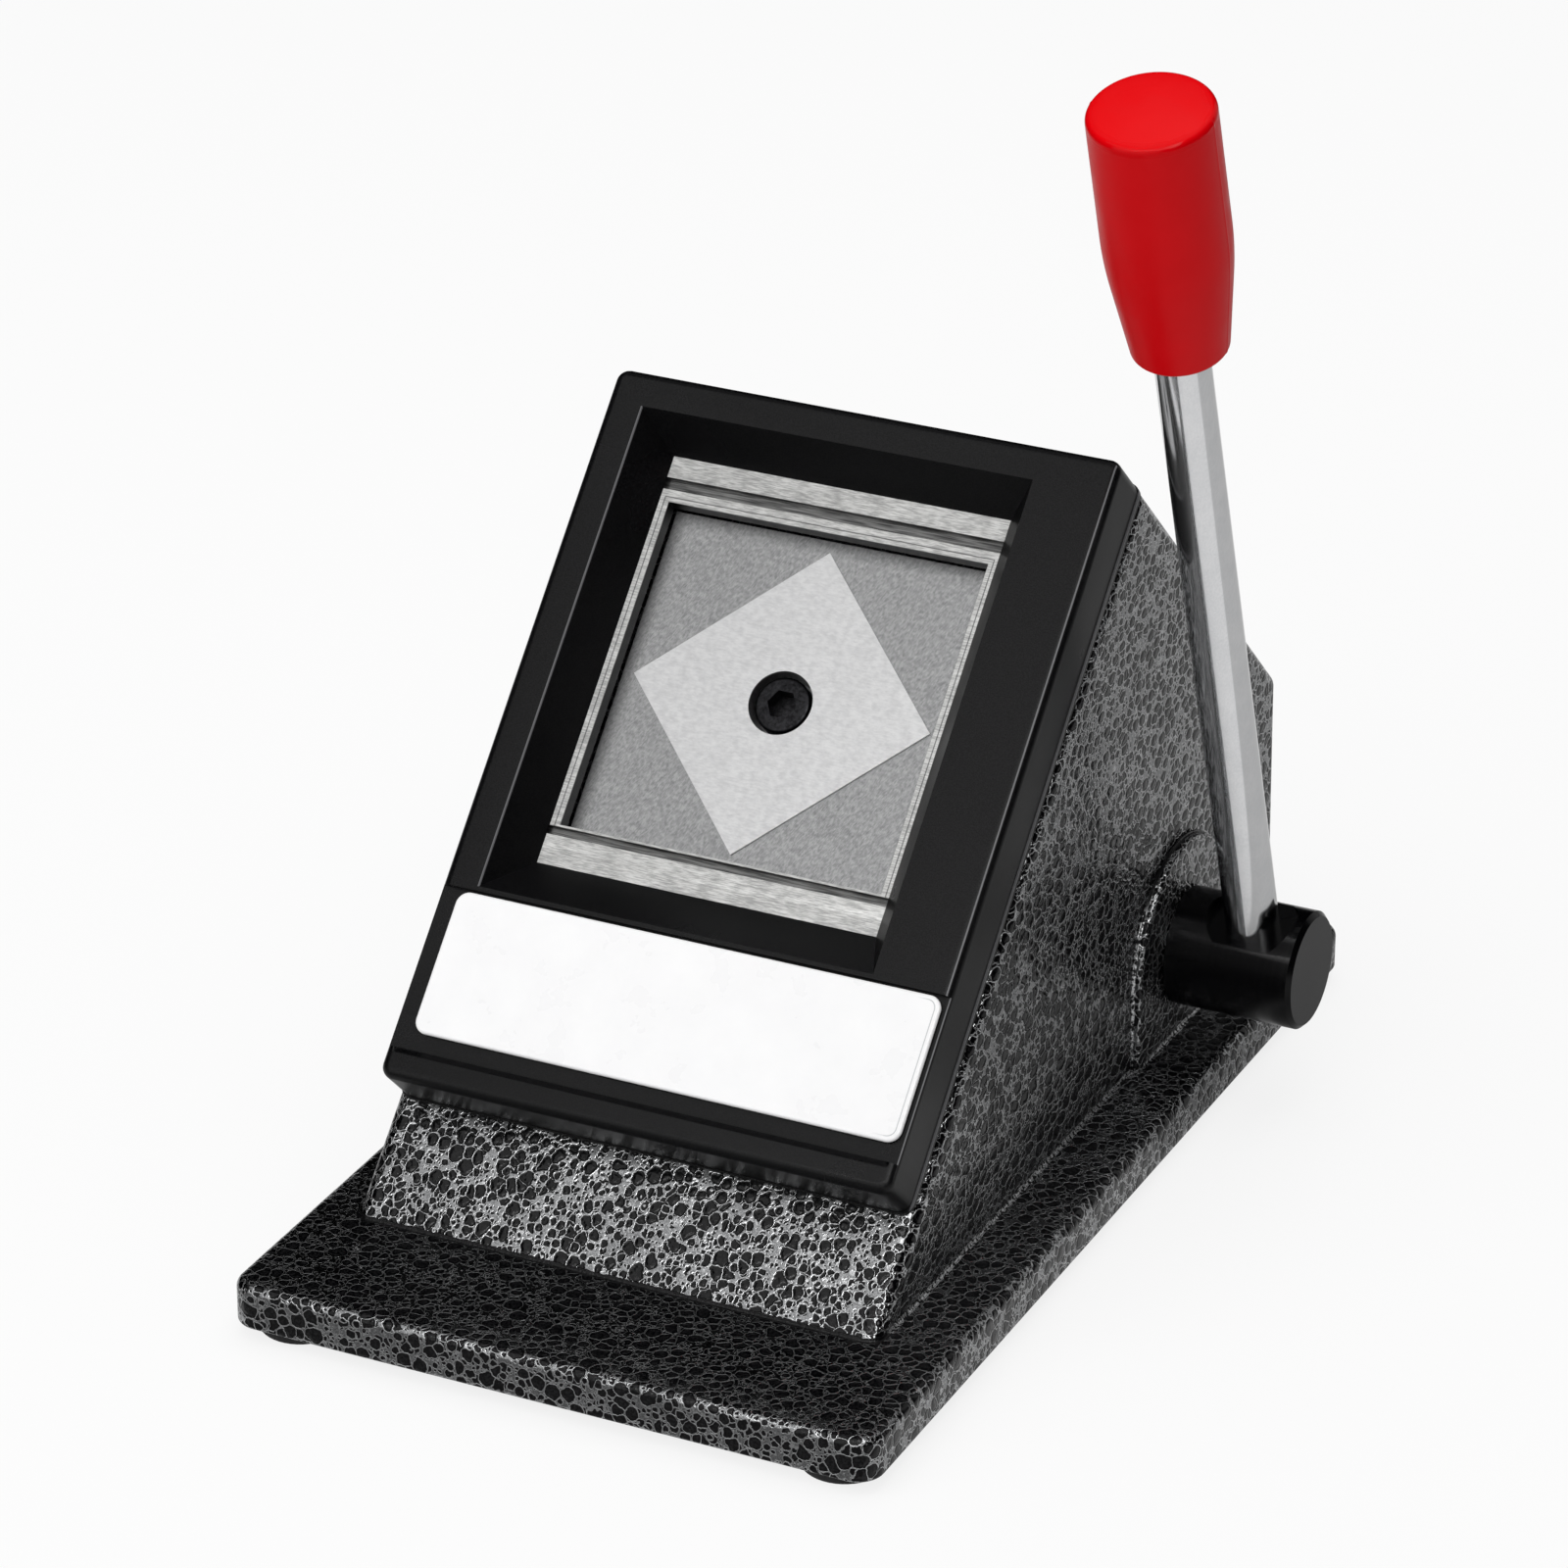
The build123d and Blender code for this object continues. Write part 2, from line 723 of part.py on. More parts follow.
# Return springs round the pillars, from the bushes to the back of the front wall
coil_radius = spring_radius - spring_wire_radius
coil_height = spring_length - 2 * (spring_wire_radius + ring_play)
coil_pitch = coil_height / spring_turns
print("spring gap to itself", round(coil_pitch - 2 * spring_wire_radius, 2))
with BuildPart() as return_springs:
    for across, up in pillar_places:
        coil_foot = die.from_local_coords((across, up, spring_seat + spring_wire_radius + ring_play))
        with BuildLine() as coil:
            Helix(coil_pitch, coil_height, coil_radius, center=coil_foot, direction=slope_out)
        with BuildSketch(Plane(origin=coil.line @ 0, z_dir=coil.line % 0)) as wire:
            Circle(spring_wire_radius)
        sweep(wire.sketch, path=coil.line, is_frenet=True)
save(return_springs.part, "return_springs")

# Roller pin, pressed into both sides of the fork
with BuildPart() as roller_pin:
    bars(roller_axis.offset(overrun), [(0, 0)], roller_pin_radius, neck_width)
save(roller_pin.part, "roller_pin")

# Roller that follows the cam
roller_width = fork_slot_width - 2 * roller_play
with BuildPart() as cam_roller:
    roller_start = roller_axis.offset(overrun + neck_half - roller_width / 2)
    bars(roller_start, [(0, 0)], roller_radius, roller_width)
    bars(
        roller_start, [(0, 0)], roller_pin_radius + roller_bore_play, roller_width,
        mode=Mode.SUBTRACT,
    )
save(cam_roller.part, "cam_roller")


def cam_point(turn):
    """Point of the cam's edge that lifts the roller once the lever has turned this far.

    The roller's centre rises by the same amount for each degree. Seen from the cam it
    turns back by the lever's angle, and the edge lies one roller radius inside its path.
    """
    angle = radians(turn)
    rate = punch_stroke / radians(lever_travel)
    height = roller_rise + rate * angle
    across = roller_offset * cos(angle) + height * sin(angle)
    up = height * cos(angle) - roller_offset * sin(angle)
    along_across = (rate - roller_offset) * sin(angle) + height * cos(angle)
    along_up = (rate - roller_offset) * cos(angle) - height * sin(angle)
    length = hypot(along_across, along_up)
    inward = roller_radius + cam_gap
    return (across + inward * along_up / length, up - inward * along_across / length)


# Cam: a lobe that lifts evenly over the lever's travel, keyed to the shaft
cam_turns = [
    -cam_lead + (lever_travel + 2 * cam_lead) * step / (cam_points - 1) for step in range(cam_points)
]
cam_edge = [cam_point(turn) for turn in cam_turns]
key_foot = shaft_radius - key_size / 2
with BuildPart() as cam:
    with BuildSketch(cam_plane.offset(-cam_width / 2)):
        with BuildLine():
            Spline(*cam_edge)
            Polyline(cam_edge[-1], (0, 0), cam_edge[0])
        make_face()
        Circle(cam_hub_radius)
        Circle(shaft_radius + thread_play, mode=Mode.SUBTRACT)
    extrude(amount=cam_width)
    block(
        cam_plane.offset(-cam_width / 2), -key_size / 2 - key_play, key_size / 2 + key_play,
        -key_foot - key_size - key_play, -key_foot, cam_width, mode=Mode.SUBTRACT,
    )
save(cam.part, "cam")

# Key between the cam and the shaft
with BuildPart() as cam_key:
    block(
        cam_plane.offset(-cam_width / 2), -key_size / 2, key_size / 2, -key_foot - key_size,
        -key_foot, cam_width,
    )
save(cam_key.part, "cam_key")

# Drive shaft: runs from the blind bush on the left through the cam into the lever's hub
with BuildPart() as drive_shaft:
    bars(at_x(shaft_start), [(0, 0)], shaft_radius, shaft_end - shaft_start)
    block(
        cam_plane.offset(-cam_width / 2 - key_play), -key_size / 2 - key_play,
        key_size / 2 + key_play, -shaft_radius - overrun, -key_foot + key_play,
        cam_width + 2 * key_play, mode=Mode.SUBTRACT,
    )
save(drive_shaft.part, "drive_shaft")


def flanged_bush(body_start, body_length, flange_start):
    """Bush bored for the shaft, with a flange on its inner end."""
    bars(at_x(body_start), [(0, 0)], bush_radius, body_length)
    bars(at_x(flange_start), [(0, 0)], bush_flange_radius, bush_flange_thickness)
    bore_start = min(body_start, flange_start)
    bore_length = body_length + bush_flange_thickness
    bars(at_x(bore_start), [(0, 0)], shaft_radius + shaft_play, bore_length, mode=Mode.SUBTRACT)


# Flanged bronze bushes, the left one in a blind boss and the right one through the wall
with BuildPart() as left_bush:
    flanged_bush(left_bush_start, left_bush_length, left_boss_end)
save(left_bush.part, "left_bush")
with BuildPart() as right_bush:
    flanged_bush(
        right_boss_end, boss_face - right_boss_end, right_boss_end - bush_flange_thickness
    )
save(right_bush.part, "right_bush")


def set_screw_plane(x, reach):
    """Plane square to a set screw that points at the shaft from below, at its outer end."""
    inward = (0, -sin(radians(lever_lean)), cos(radians(lever_lean)))
    outer = Vector(x, shaft_back, shaft_height) - Vector(inward) * reach
    return Plane(origin=outer, x_dir=(1, 0, 0), z_dir=inward)


# Collar that keeps the shaft from sliding, with its set screw
collar_middle = collar_start + collar_length / 2
with BuildPart() as shaft_collar:
    bars(at_x(collar_start), [(0, 0)], collar_radius, collar_length)
    bars(
        at_x(collar_start), [(0, 0)], shaft_radius + thread_play, collar_length,
        mode=Mode.SUBTRACT,
    )
    bars(
        set_screw_plane(collar_middle, collar_radius + overrun), [(0, 0)],
        set_screw_radius + thread_play, collar_radius + overrun - shaft_radius / 2,
        mode=Mode.SUBTRACT,
    )
save(shaft_collar.part, "shaft_collar")
with BuildPart() as collar_screw:
    collar_screw_end = set_screw_plane(collar_middle, collar_radius - set_screw_sink)
    bars(
        collar_screw_end, [(0, 0)], set_screw_radius,
        collar_radius - set_screw_sink - shaft_radius - key_play,
    )
    sockets(
        collar_screw_end.rotated((180, 0, 0)), [(0, 0)], set_screw_socket, set_screw_socket_depth
    )
save(collar_screw.part, "collar_screw")

# Lever hub: a turned boss on the shaft's right end, flattened where the rod seats
hub_set_screw_x = hub_start + hub_set_screw_place
with BuildPart() as lever_hub:
    bars(at_x(hub_start), [(0, 0)], hub_radius, hub_length)
    chamfer(lever_hub.faces().sort_by(Axis.X)[-1].edges(), length=hub_chamfer)
    bars(at_x(hub_start), [(0, 0)], shaft_radius + thread_play, hub_bore_depth, mode=Mode.SUBTRACT)
    bars(
        lever.offset(rod_seat_distance), [(0, 0)], rod_seat_radius, hub_radius, mode=Mode.SUBTRACT
    )
    bars(
        lever.offset(rod_seat_distance), [(0, 0)], rod_spigot_radius + thread_play,
        -rod_spigot_length - key_play, mode=Mode.SUBTRACT,
    )
    bars(
        set_screw_plane(hub_set_screw_x, hub_radius + overrun), [(0, 0)],
        set_screw_radius + thread_play, hub_radius + overrun - shaft_radius / 2,
        mode=Mode.SUBTRACT,
    )
save(lever_hub.part, "lever_hub")
with BuildPart() as hub_screw:
    hub_screw_end = set_screw_plane(hub_set_screw_x, hub_radius - set_screw_sink)
    bars(
        hub_screw_end, [(0, 0)], set_screw_radius,
        hub_radius - set_screw_sink - shaft_radius - key_play,
    )
    sockets(
        hub_screw_end.rotated((180, 0, 0)), [(0, 0)], set_screw_socket, set_screw_socket_depth
    )
save(hub_screw.part, "hub_screw")

# Lever rod: chromed bar whose spigot screws into the hub
with BuildPart() as lever_rod:
    bars(
        lever.offset(rod_seat_distance), [(0, 0)], rod_radius, rod_top_distance - rod_seat_distance
    )
    bars(lever.offset(rod_seat_distance), [(0, 0)], rod_spigot_radius, -rod_spigot_length)
save(lever_rod.part, "lever_rod")

# Grip: moulded handle that tapers below its middle, with a low domed top
grip_side = Plane(origin=lever.origin, x_dir=(1, 0, 0), z_dir=Vector(1, 0, 0).cross(lever.z_dir))
grip_top = grip_bottom_distance + grip_length
grip_bore_radius = rod_radius + thread_play
grip_bore_top = rod_top_distance + key_play
grip_foot_corner = (grip_bottom_radius, grip_bottom_distance)
grip_waist_corner = (grip_waist_radius, grip_bottom_distance + grip_waist_share * grip_length)
grip_rim_corner = (grip_top_radius, grip_top - grip_dome)
dome_radius = (grip_top_radius**2 + grip_dome**2) / (2 * grip_dome)
dome_angle = degrees(asin(grip_top_radius / dome_radius))
with BuildPart() as lever_grip:
    with BuildSketch(grip_side) as grip_profile:
        with BuildLine():
            Polyline(
                (0, grip_top), (0, grip_bore_top), (grip_bore_radius, grip_bore_top),
                (grip_bore_radius, grip_bottom_distance), grip_foot_corner, grip_waist_corner,
                grip_rim_corner,
            )
            CenterArc((0, grip_top - dome_radius), dome_radius, 90 - dome_angle, dome_angle)
        make_face()
        for corner, corner_round in (
            (grip_foot_corner, grip_bottom_round),
            (grip_waist_corner, grip_waist_round),
            (grip_rim_corner, grip_top_round),
        ):
            fillet(grip_profile.vertices().sort_by_distance(corner)[0], radius=corner_round)
    revolve(axis=Axis(lever.origin, lever.z_dir))
save(lever_grip.part, "lever_grip")
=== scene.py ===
import json
from math import radians

import bmesh
import bpy
import numpy as np
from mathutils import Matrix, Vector

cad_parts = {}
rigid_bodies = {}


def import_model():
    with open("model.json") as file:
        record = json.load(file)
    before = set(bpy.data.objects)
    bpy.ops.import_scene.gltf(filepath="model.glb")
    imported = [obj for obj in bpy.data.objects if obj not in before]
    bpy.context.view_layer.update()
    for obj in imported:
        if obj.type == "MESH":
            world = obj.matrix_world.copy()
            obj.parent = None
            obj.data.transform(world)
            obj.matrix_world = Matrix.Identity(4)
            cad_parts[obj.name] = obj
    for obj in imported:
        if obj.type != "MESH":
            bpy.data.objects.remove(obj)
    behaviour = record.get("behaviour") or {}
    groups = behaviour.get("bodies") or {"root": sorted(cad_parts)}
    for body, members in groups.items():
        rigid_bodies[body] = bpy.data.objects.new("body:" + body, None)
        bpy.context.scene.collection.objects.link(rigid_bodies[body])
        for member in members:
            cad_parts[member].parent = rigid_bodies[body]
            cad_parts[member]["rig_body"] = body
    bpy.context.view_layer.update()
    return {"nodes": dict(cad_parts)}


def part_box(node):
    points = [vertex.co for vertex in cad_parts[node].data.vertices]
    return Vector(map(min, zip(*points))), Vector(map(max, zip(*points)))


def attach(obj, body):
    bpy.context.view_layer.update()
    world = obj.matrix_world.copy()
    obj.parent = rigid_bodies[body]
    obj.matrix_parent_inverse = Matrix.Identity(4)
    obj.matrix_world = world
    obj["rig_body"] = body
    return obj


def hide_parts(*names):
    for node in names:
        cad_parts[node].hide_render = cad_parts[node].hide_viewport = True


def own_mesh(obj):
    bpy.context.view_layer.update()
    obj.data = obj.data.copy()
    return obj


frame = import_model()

nodes = frame["nodes"]

# Camera: stands to the right in front of the cutter and looks down on it with a long lens.
# Its place and angles come from a fit to the straight edges seen in the photograph.
camera_place = (0.3723, -0.7780, 0.4778)
camera_pitch = 64.12
camera_turn = 25.86
sensor_width = 36.0
focal_length_px = 6781.1
photo_width_px = 1600
camera_data = bpy.data.cameras.new("camera")
camera_data.sensor_width = sensor_width
camera_data.lens = focal_length_px * sensor_width / photo_width_px
camera_data.clip_start = 0.05
camera = bpy.data.objects.new("camera", camera_data)
camera.location = camera_place
camera.rotation_euler = (radians(camera_pitch), 0, radians(camera_turn))
bpy.context.scene.collection.objects.link(camera)
bpy.context.scene.camera = camera
bpy.context.scene.view_settings.view_transform = "Standard"

# Base plate and body housing: iron castings under one coat of black and silver hammer paint.
# The paint draws into shiny dark pits up to about 2 mm wide, and the silver gathers between
# them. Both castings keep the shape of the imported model.

# In millimetres: the least width of silver between two pits, and how far noise bends their rims.
paint_gap = 0.10
paint_bend = 0.28
# In metres: the cells of the noises, and the depth of the paint's relief.
bend_cell = 0.0009
flake_cell = 0.00022
patch_cell = 0.009
spot_cell = 0.0004
paint_depth = 0.000085
# Each size of pit: its cell in millimetres, then its least radius and that radius's spread, both
# as shares of the cell.
fine_pits = ((1.9, 0.22, 0.50), (1.25, 0.20, 0.50), (0.65, 0.05, 0.55))
broad_pits = ((2.1, 0.26, 0.48), (1.4, 0.22, 0.50), (0.75, 0.08, 0.55))
body_stretch = 1.3
base_stretch = 1.0


def tone(red, green, blue):
    """Colour for a shader from display values of 0 to 255: each is brought to a share of 1 and
    raised to the power of about 2.4, as the display standard says."""
    shares = np.array([red, green, blue]) / 255
    linear = np.where(shares <= 0.04045, shares / 12.92, ((shares + 0.055) / 1.055) ** 2.4)
    return (*linear.tolist(), 1.0)


def new_finish(name):
    """A new material: gives it, its node tree and its shader."""
    made = bpy.data.materials.new(name)
    made.use_nodes = True
    return made, made.node_tree, made.node_tree.nodes["Principled BSDF"]


def add(tree, kind, inputs, **settings):
    """A node of one kind with its settings. Inputs go by name or number, each a value or
    the output of another node."""
    made = tree.nodes.new("ShaderNode" + kind)
    for name, value in settings.items():
        setattr(made, name, value)
    for name, value in inputs.items():
        if isinstance(value, bpy.types.NodeSocket):
            tree.links.new(value, made.inputs[name])
        else:
            made.inputs[name].default_value = value
    return made


def calc(tree, operation, first, second=0.0, third=0.0):
    """Result of one sum on numbers or outputs."""
    return add(tree, "Math", {0: first, 1: second, 2: third}, operation=operation).outputs[0]


def step(tree, value, low, high, from_value=0.0, to_value=1.0):
    """Smooth step from one value to another while the given value goes from low to high."""
    inputs = {
        "Value": value, "From Min": low, "From Max": high, "To Min": from_value, "To Max": to_value
    }
    return add(tree, "MapRange", inputs, interpolation_type="SMOOTHSTEP").outputs[0]


def place(tree, cell, turn=(0, 0, 0), centre=(0, 0, 0)):
    """Place on the object, turned about a centre and measured in cells of this size."""
    size = cell if isinstance(cell, tuple) else (cell, cell, cell)
    where = add(tree, "TexCoord", {}).outputs["Object"]
    inputs = {
        "Vector": where, "Location": centre, "Rotation": [radians(a) for a in turn], "Scale": size
    }
    return add(tree, "Mapping", inputs, vector_type="TEXTURE").outputs[0]


def cloud(tree, where, detail=3.0, roughness=0.5):
    """Soft random pattern, from 0 to 1, about one cell across."""
    inputs = {"Vector": where, "Scale": 1.0, "Detail": detail, "Roughness": roughness}
    return add(tree, "TexNoise", inputs).outputs[0]


def blend(tree, share, first, second):
    """Mix of two colours, or of two outputs that give colours."""
    inputs = {"Factor": share, 6: first, 7: second}
    return add(tree, "Mix", inputs, data_type="RGBA").outputs[2]


def relief(tree, shader, height, depth):
    """Bump on the shader: a height of 0 to 1 stands for this depth in metres."""
    inputs = {"Height": height, "Distance": depth, "Strength": 1.0}
    bump = add(tree, "Bump", inputs).outputs[0]
    tree.links.new(bump, shader.inputs["Normal"])


def set_shader(shader, **values):
    """Set plain values on the shader's own sockets."""
    for name, value in values.items():
        shader.inputs[name.replace("_", " ")].default_value = value


def hammer_paint(name, pits, stretch):
    """Round pits of several sizes, the larger over the smaller, with silver between them.

    For each size, a pit's depth at a point is its own radius less the distance to its middle,
    and no more than the distance to the next pit. A smaller pit stops short of a larger one.
    All of it is measured in millimetres, on places that a soft noise has bent a little, and the
    pits are drawn out front to back by the stretch.
    """
    material, tree, shader = new_finish(name)
    noise = add(tree, "TexNoise", {"Vector": place(tree, bend_cell), "Scale": 1.0, "Detail": 1.0})
    inputs = {0: noise.outputs["Color"], 1: (0.5, 0.5, 0.5)}
    middle = add(tree, "VectorMath", inputs, operation="SUBTRACT")
    inputs = {0: middle.outputs[0], "Scale": paint_bend * 2}
    shift = add(tree, "VectorMath", inputs, operation="SCALE")
    flat = place(tree, (0.001, 0.001 * stretch, 0.001))
    bent = add(tree, "VectorMath", {0: flat, 1: shift.outputs[0]}).outputs[0]
    inside = None
    for cell, smallest, spread in pits:
        where = add(tree, "VectorMath", {0: bent, "Scale": 1 / cell}, operation="SCALE").outputs[0]
        inputs = {"Vector": where, "Scale": 1.0, "Randomness": 0.95}
        disc = add(tree, "TexVoronoi", inputs)
        edge = add(tree, "TexVoronoi", inputs, feature="DISTANCE_TO_EDGE")
        luck = add(tree, "SeparateColor", {"Color": disc.outputs["Color"]}).outputs[0]
        radius = calc(tree, "MULTIPLY_ADD", luck, spread, smallest)
        own = calc(tree, "SUBTRACT", radius, disc.outputs["Distance"])
        room = calc(tree, "SUBTRACT", edge.outputs["Distance"], paint_gap / 2 / cell)
        depth = calc(tree, "MULTIPLY", calc(tree, "SMOOTH_MIN", own, room, 0.12), cell)
        if inside is None:
            inside = depth
        else:
            free = calc(tree, "SUBTRACT", calc(tree, "MULTIPLY", inside, -1.0), paint_gap)
            inside = calc(tree, "MAXIMUM", inside, calc(tree, "SMOOTH_MIN", depth, free, 0.1))
    dark = step(tree, inside, -0.03, 0.03)
    flake = cloud(tree, place(tree, flake_cell), 3.0)
    patch = cloud(tree, place(tree, patch_cell), 2.0)
    glint = step(tree, flake, 0.35, 0.65)
    silver = blend(tree, glint, tone(112, 113, 114), tone(160, 161, 162))
    # Painted highlight: the silver is painted lighter on the banks next to each pit.
    rim_highlight = calc(tree, "MULTIPLY", step(tree, inside, -0.10, -0.04), 0.8)
    silver = blend(tree, rim_highlight, silver, tone(200, 201, 202))
    silver = blend(tree, step(tree, patch, 0.35, 0.75, 0.0, 0.25), silver, tone(90, 90, 92))
    # Painted shade: each pit is painted black at its rim and spotted a little lighter in its
    # middle.
    spots = cloud(tree, place(tree, spot_cell), 2.0)
    middle_black = blend(tree, step(tree, spots, 0.40, 0.62), tone(2, 2, 3), tone(22, 22, 23))
    black = blend(tree, step(tree, inside, 0.12, 0.36), tone(2, 2, 3), middle_black)
    tree.links.new(blend(tree, dark, silver, black), shader.inputs["Base Color"])
    tree.links.new(step(tree, dark, 0.0, 1.0, 1.0, 0.0), shader.inputs["Metallic"])
    tree.links.new(step(tree, dark, 0.0, 1.0, 0.18, 0.15), shader.inputs["Roughness"])
    wall = step(tree, inside, -0.10, 0.16, 1.0, 0.0)
    crown = step(tree, inside, 0.10, 0.60, 0.0, 0.70)
    height = calc(tree, "MULTIPLY_ADD", flake, 0.01, calc(tree, "ADD", wall, crown))
    relief(tree, shader, height, paint_depth)
    set_shader(shader, Specular_IOR_Level=0.24)
    return material


body_paint = hammer_paint("hammer_paint_fine", fine_pits, body_stretch)
base_paint = hammer_paint("hammer_paint_broad", broad_pits, base_stretch)
nodes["base_plate"].data.materials[0] = base_paint
nodes["body_housing"].data.materials[0] = body_paint


def put_mesh(name, points, faces, finish, body):
    """Piece from a grid of points and rows of four corners, which rides on a body."""
    merge_distance = 0.0000005
    data = bpy.data.meshes.new(name)
    data.from_pydata(points.reshape(-1, 3).tolist(), [], faces.tolist())
    mesh = bmesh.new()
    mesh.from_mesh(data)
    bmesh.ops.remove_doubles(mesh, verts=mesh.verts, dist=merge_distance)
    bmesh.ops.recalc_face_normals(mesh, faces=mesh.faces)
    mesh.to_mesh(data)
    mesh.free()
    data.polygons.foreach_set("use_smooth", [True] * len(data.polygons))
    data.materials.append(finish)
    piece = bpy.data.objects.new(name, data)
    bpy.context.scene.collection.objects.link(piece)
    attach(piece, body)
    return piece


def grid_faces(rows, columns, closed_rows=False, closed_columns=False):
    """Corners of the four-sided faces of a grid, with either direction closed into a ring."""
    row = np.arange(rows if closed_rows else rows - 1)[:, None]
    column = np.arange(columns if closed_columns else columns - 1)[None, :]
    next_row = (row + 1) % rows
    next_column = (column + 1) % columns
    corners = [
        row * columns + column, row * columns + next_column,
        next_row * columns + next_column, next_row * columns + column,
    ]
    return np.stack(np.broadcast_arrays(*corners), axis=-1).reshape(-1, 4)


# Paint beads: in the corner between housing and base, and in the corner round the pad of the
# shaft, the wet paint gathered in a small fillet. Most of it is silver, broken by dark gaps.
base_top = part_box("base_plate")[1][2]
housing_low, housing_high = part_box("body_housing")
pad_proud = 0.0012
pad_half = 0.0168
shaft_y = 0.0435
shaft_z = 0.0225
foot_corner = 0.0024
foot_bead_size = 0.0005
pad_bead_size = 0.0003
bead_front = -0.058
bead_top = 0.034
bead_sink = 0.0002
corner_points = 7
side_points = 90
rise_points = 39
wall_right = housing_high[0] - pad_proud


def bead_paint():
    """Silver paint drawn out in short runs, with black gaps between them. Along the front and
    over the top of the pad it is black."""
    material, tree, shader = new_finish("bead_paint")
    runs = cloud(tree, place(tree, 0.0006), 2.0)
    black = step(tree, runs, 0.46, 0.54, 1.0, 0.0)
    axes = add(tree, "SeparateXYZ", {"Vector": place(tree, 1.0)}).outputs
    front = step(tree, axes[1], bead_front - 0.001, bead_front + 0.001, 1.0, 0.0)
    top = step(tree, axes[2], bead_top - 0.003, bead_top + 0.001)
    black = calc(tree, "MAXIMUM", black, calc(tree, "MAXIMUM", front, top))
    flake = cloud(tree, place(tree, 0.0002), 2.0)
    silver = blend(tree, flake, tone(150, 151, 152), tone(232, 233, 234))
    tree.links.new(blend(tree, black, silver, tone(8, 8, 9)), shader.inputs["Base Color"])
    tree.links.new(step(tree, black, 0.0, 1.0, 1.0, 0.0), shader.inputs["Metallic"])
    relief(tree, shader, runs, 0.00012)
    set_shader(shader, Roughness=0.26, Specular_IOR_Level=0.22)
    return material


def foot_outline():
    """Outline of the housing's foot: a rectangle with quarter-round corners, and a step out to
    the pad on the right, where the shaft comes through. Also gives the outward direction."""
    quarter = np.linspace(0, np.pi / 2, corner_points)
    arc = np.stack([np.cos(quarter), np.sin(quarter)], axis=1)
    spans = []
    for turn, corner in (
        (0, (wall_right, housing_high[1])), (1, (housing_low[0], housing_high[1])),
        (2, (housing_low[0], housing_low[1])), (3, (wall_right, housing_low[1])),
    ):
        angle = turn * np.pi / 2
        spin = np.array([[np.cos(angle), np.sin(angle)], [-np.sin(angle), np.cos(angle)]])
        out = arc @ spin
        inward = np.array([[1, 1], [-1, 1], [-1, -1], [1, -1]][turn])
        centre = np.array(corner) - foot_corner * inward
        spans.append((centre + foot_corner * out, out))
    steps = np.linspace(0, 1, side_points)[:, None]
    whole = []
    for index, (points, out) in enumerate(spans):
        next_points = spans[(index + 1) % 4][0]
        whole.append((points, out))
        side = points[-1] + (next_points[0] - points[-1]) * steps[1:-1]
        if index == 3:
            from_edge = pad_half - np.abs(side[:, 1] - shaft_y)
            reach = np.clip(from_edge / pad_proud + 0.5, 0, 1)
            side = side + pad_proud * reach[:, None] * [1.0, 0.0]
        whole.append((side, np.repeat(out[-1:], len(side), axis=0)))
    flat = np.concatenate([p for p, _ in whole])
    outward = np.concatenate([o for _, o in whole])
    path = np.column_stack([flat, np.full(len(flat), base_top)])
    return path, np.column_stack([outward, np.zeros(len(flat))])


def pad_outline():
    """Outline of the pad's foot on the wall: up one side, half a circle about the shaft, and
    down the other side. Also gives the direction away from the pad."""
    rise = np.linspace(base_top - 2 * bead_sink, shaft_z, rise_points + 1)[:-1]
    half_turn = np.linspace(0, np.pi, side_points)
    y = np.concatenate([np.full(rise_points, -1.0), -np.cos(half_turn), np.full(rise_points, 1.0)])
    z = np.concatenate([rise, shaft_z + pad_half * np.sin(half_turn), rise[::-1]])
    flat = np.zeros(rise_points)
    outward_z = np.concatenate([flat, np.sin(half_turn), flat])
    path = np.column_stack([np.full(len(y), wall_right), shaft_y + pad_half * y, z])
    return path, np.column_stack([np.zeros(len(y)), y, outward_z])


def bead_surface(path, outward, upward, bead_size, closed):
    """A closed corner bead carried along the outline: a hollow quarter-round face whose size
    swells and shrinks a little on its way, over two flat sides sunk in the castings. The ends of
    an open bead are drawn together to a point."""
    sunk = -bead_sink / bead_size
    along = np.arange(len(path))
    swell = 1 + 0.25 * np.sin(along * 1.9) * np.sin(along * 0.7)
    quarter = np.linspace(0, np.pi / 2, corner_points)
    reach = np.concatenate([1 - np.sin(quarter), [sunk, sunk, 1.0]])
    rise = np.concatenate([1 - np.cos(quarter), [1.0, sunk, sunk]])
    size = (bead_size * swell)[:, None, None]
    points = path[:, None, :] + outward[:, None, :] * reach[:, None] * size
    points = points + np.array(upward) * rise[:, None] * size
    if not closed:
        for end in (0, -1):
            points[end] = points[end].mean(axis=0)
    return points


bead_finish = bead_paint()
for name, outline, upward, size, closed in (
    ("foot_bead", foot_outline(), (0, 0, 1), foot_bead_size, True),
    ("pad_bead", pad_outline(), (1, 0, 0), pad_bead_size, False),
):
    bead = bead_surface(*outline, upward, size, closed)
    faces = grid_faces(*bead.shape[:2], closed_rows=closed, closed_columns=True)
    put_mesh(name, bead, faces, bead_finish, "frame")

# Feet: four round pads of black rubber, stuck under the corners of the base. They lift it a
# little off the table. Handling and dust have dulled them.


def black_rubber():
    """Dull black with a fine pitted skin and a little grey dust in soft patches."""
    material, tree, shader = new_finish("black_rubber")
    dust = step(tree, cloud(tree, place(tree, 0.003), 4.0), 0.45, 0.75, 0.0, 0.35)
    colour = blend(tree, dust, tone(24, 24, 25), tone(62, 61, 60))
    tree.links.new(colour, shader.inputs["Base Color"])
    relief(tree, shader, cloud(tree, place(tree, 0.0003), 3.0), 0.00004)
    set_shader(shader, Roughness=0.75)
    return material


nodes["rubber_feet"].data.materials[0] = black_rubber()

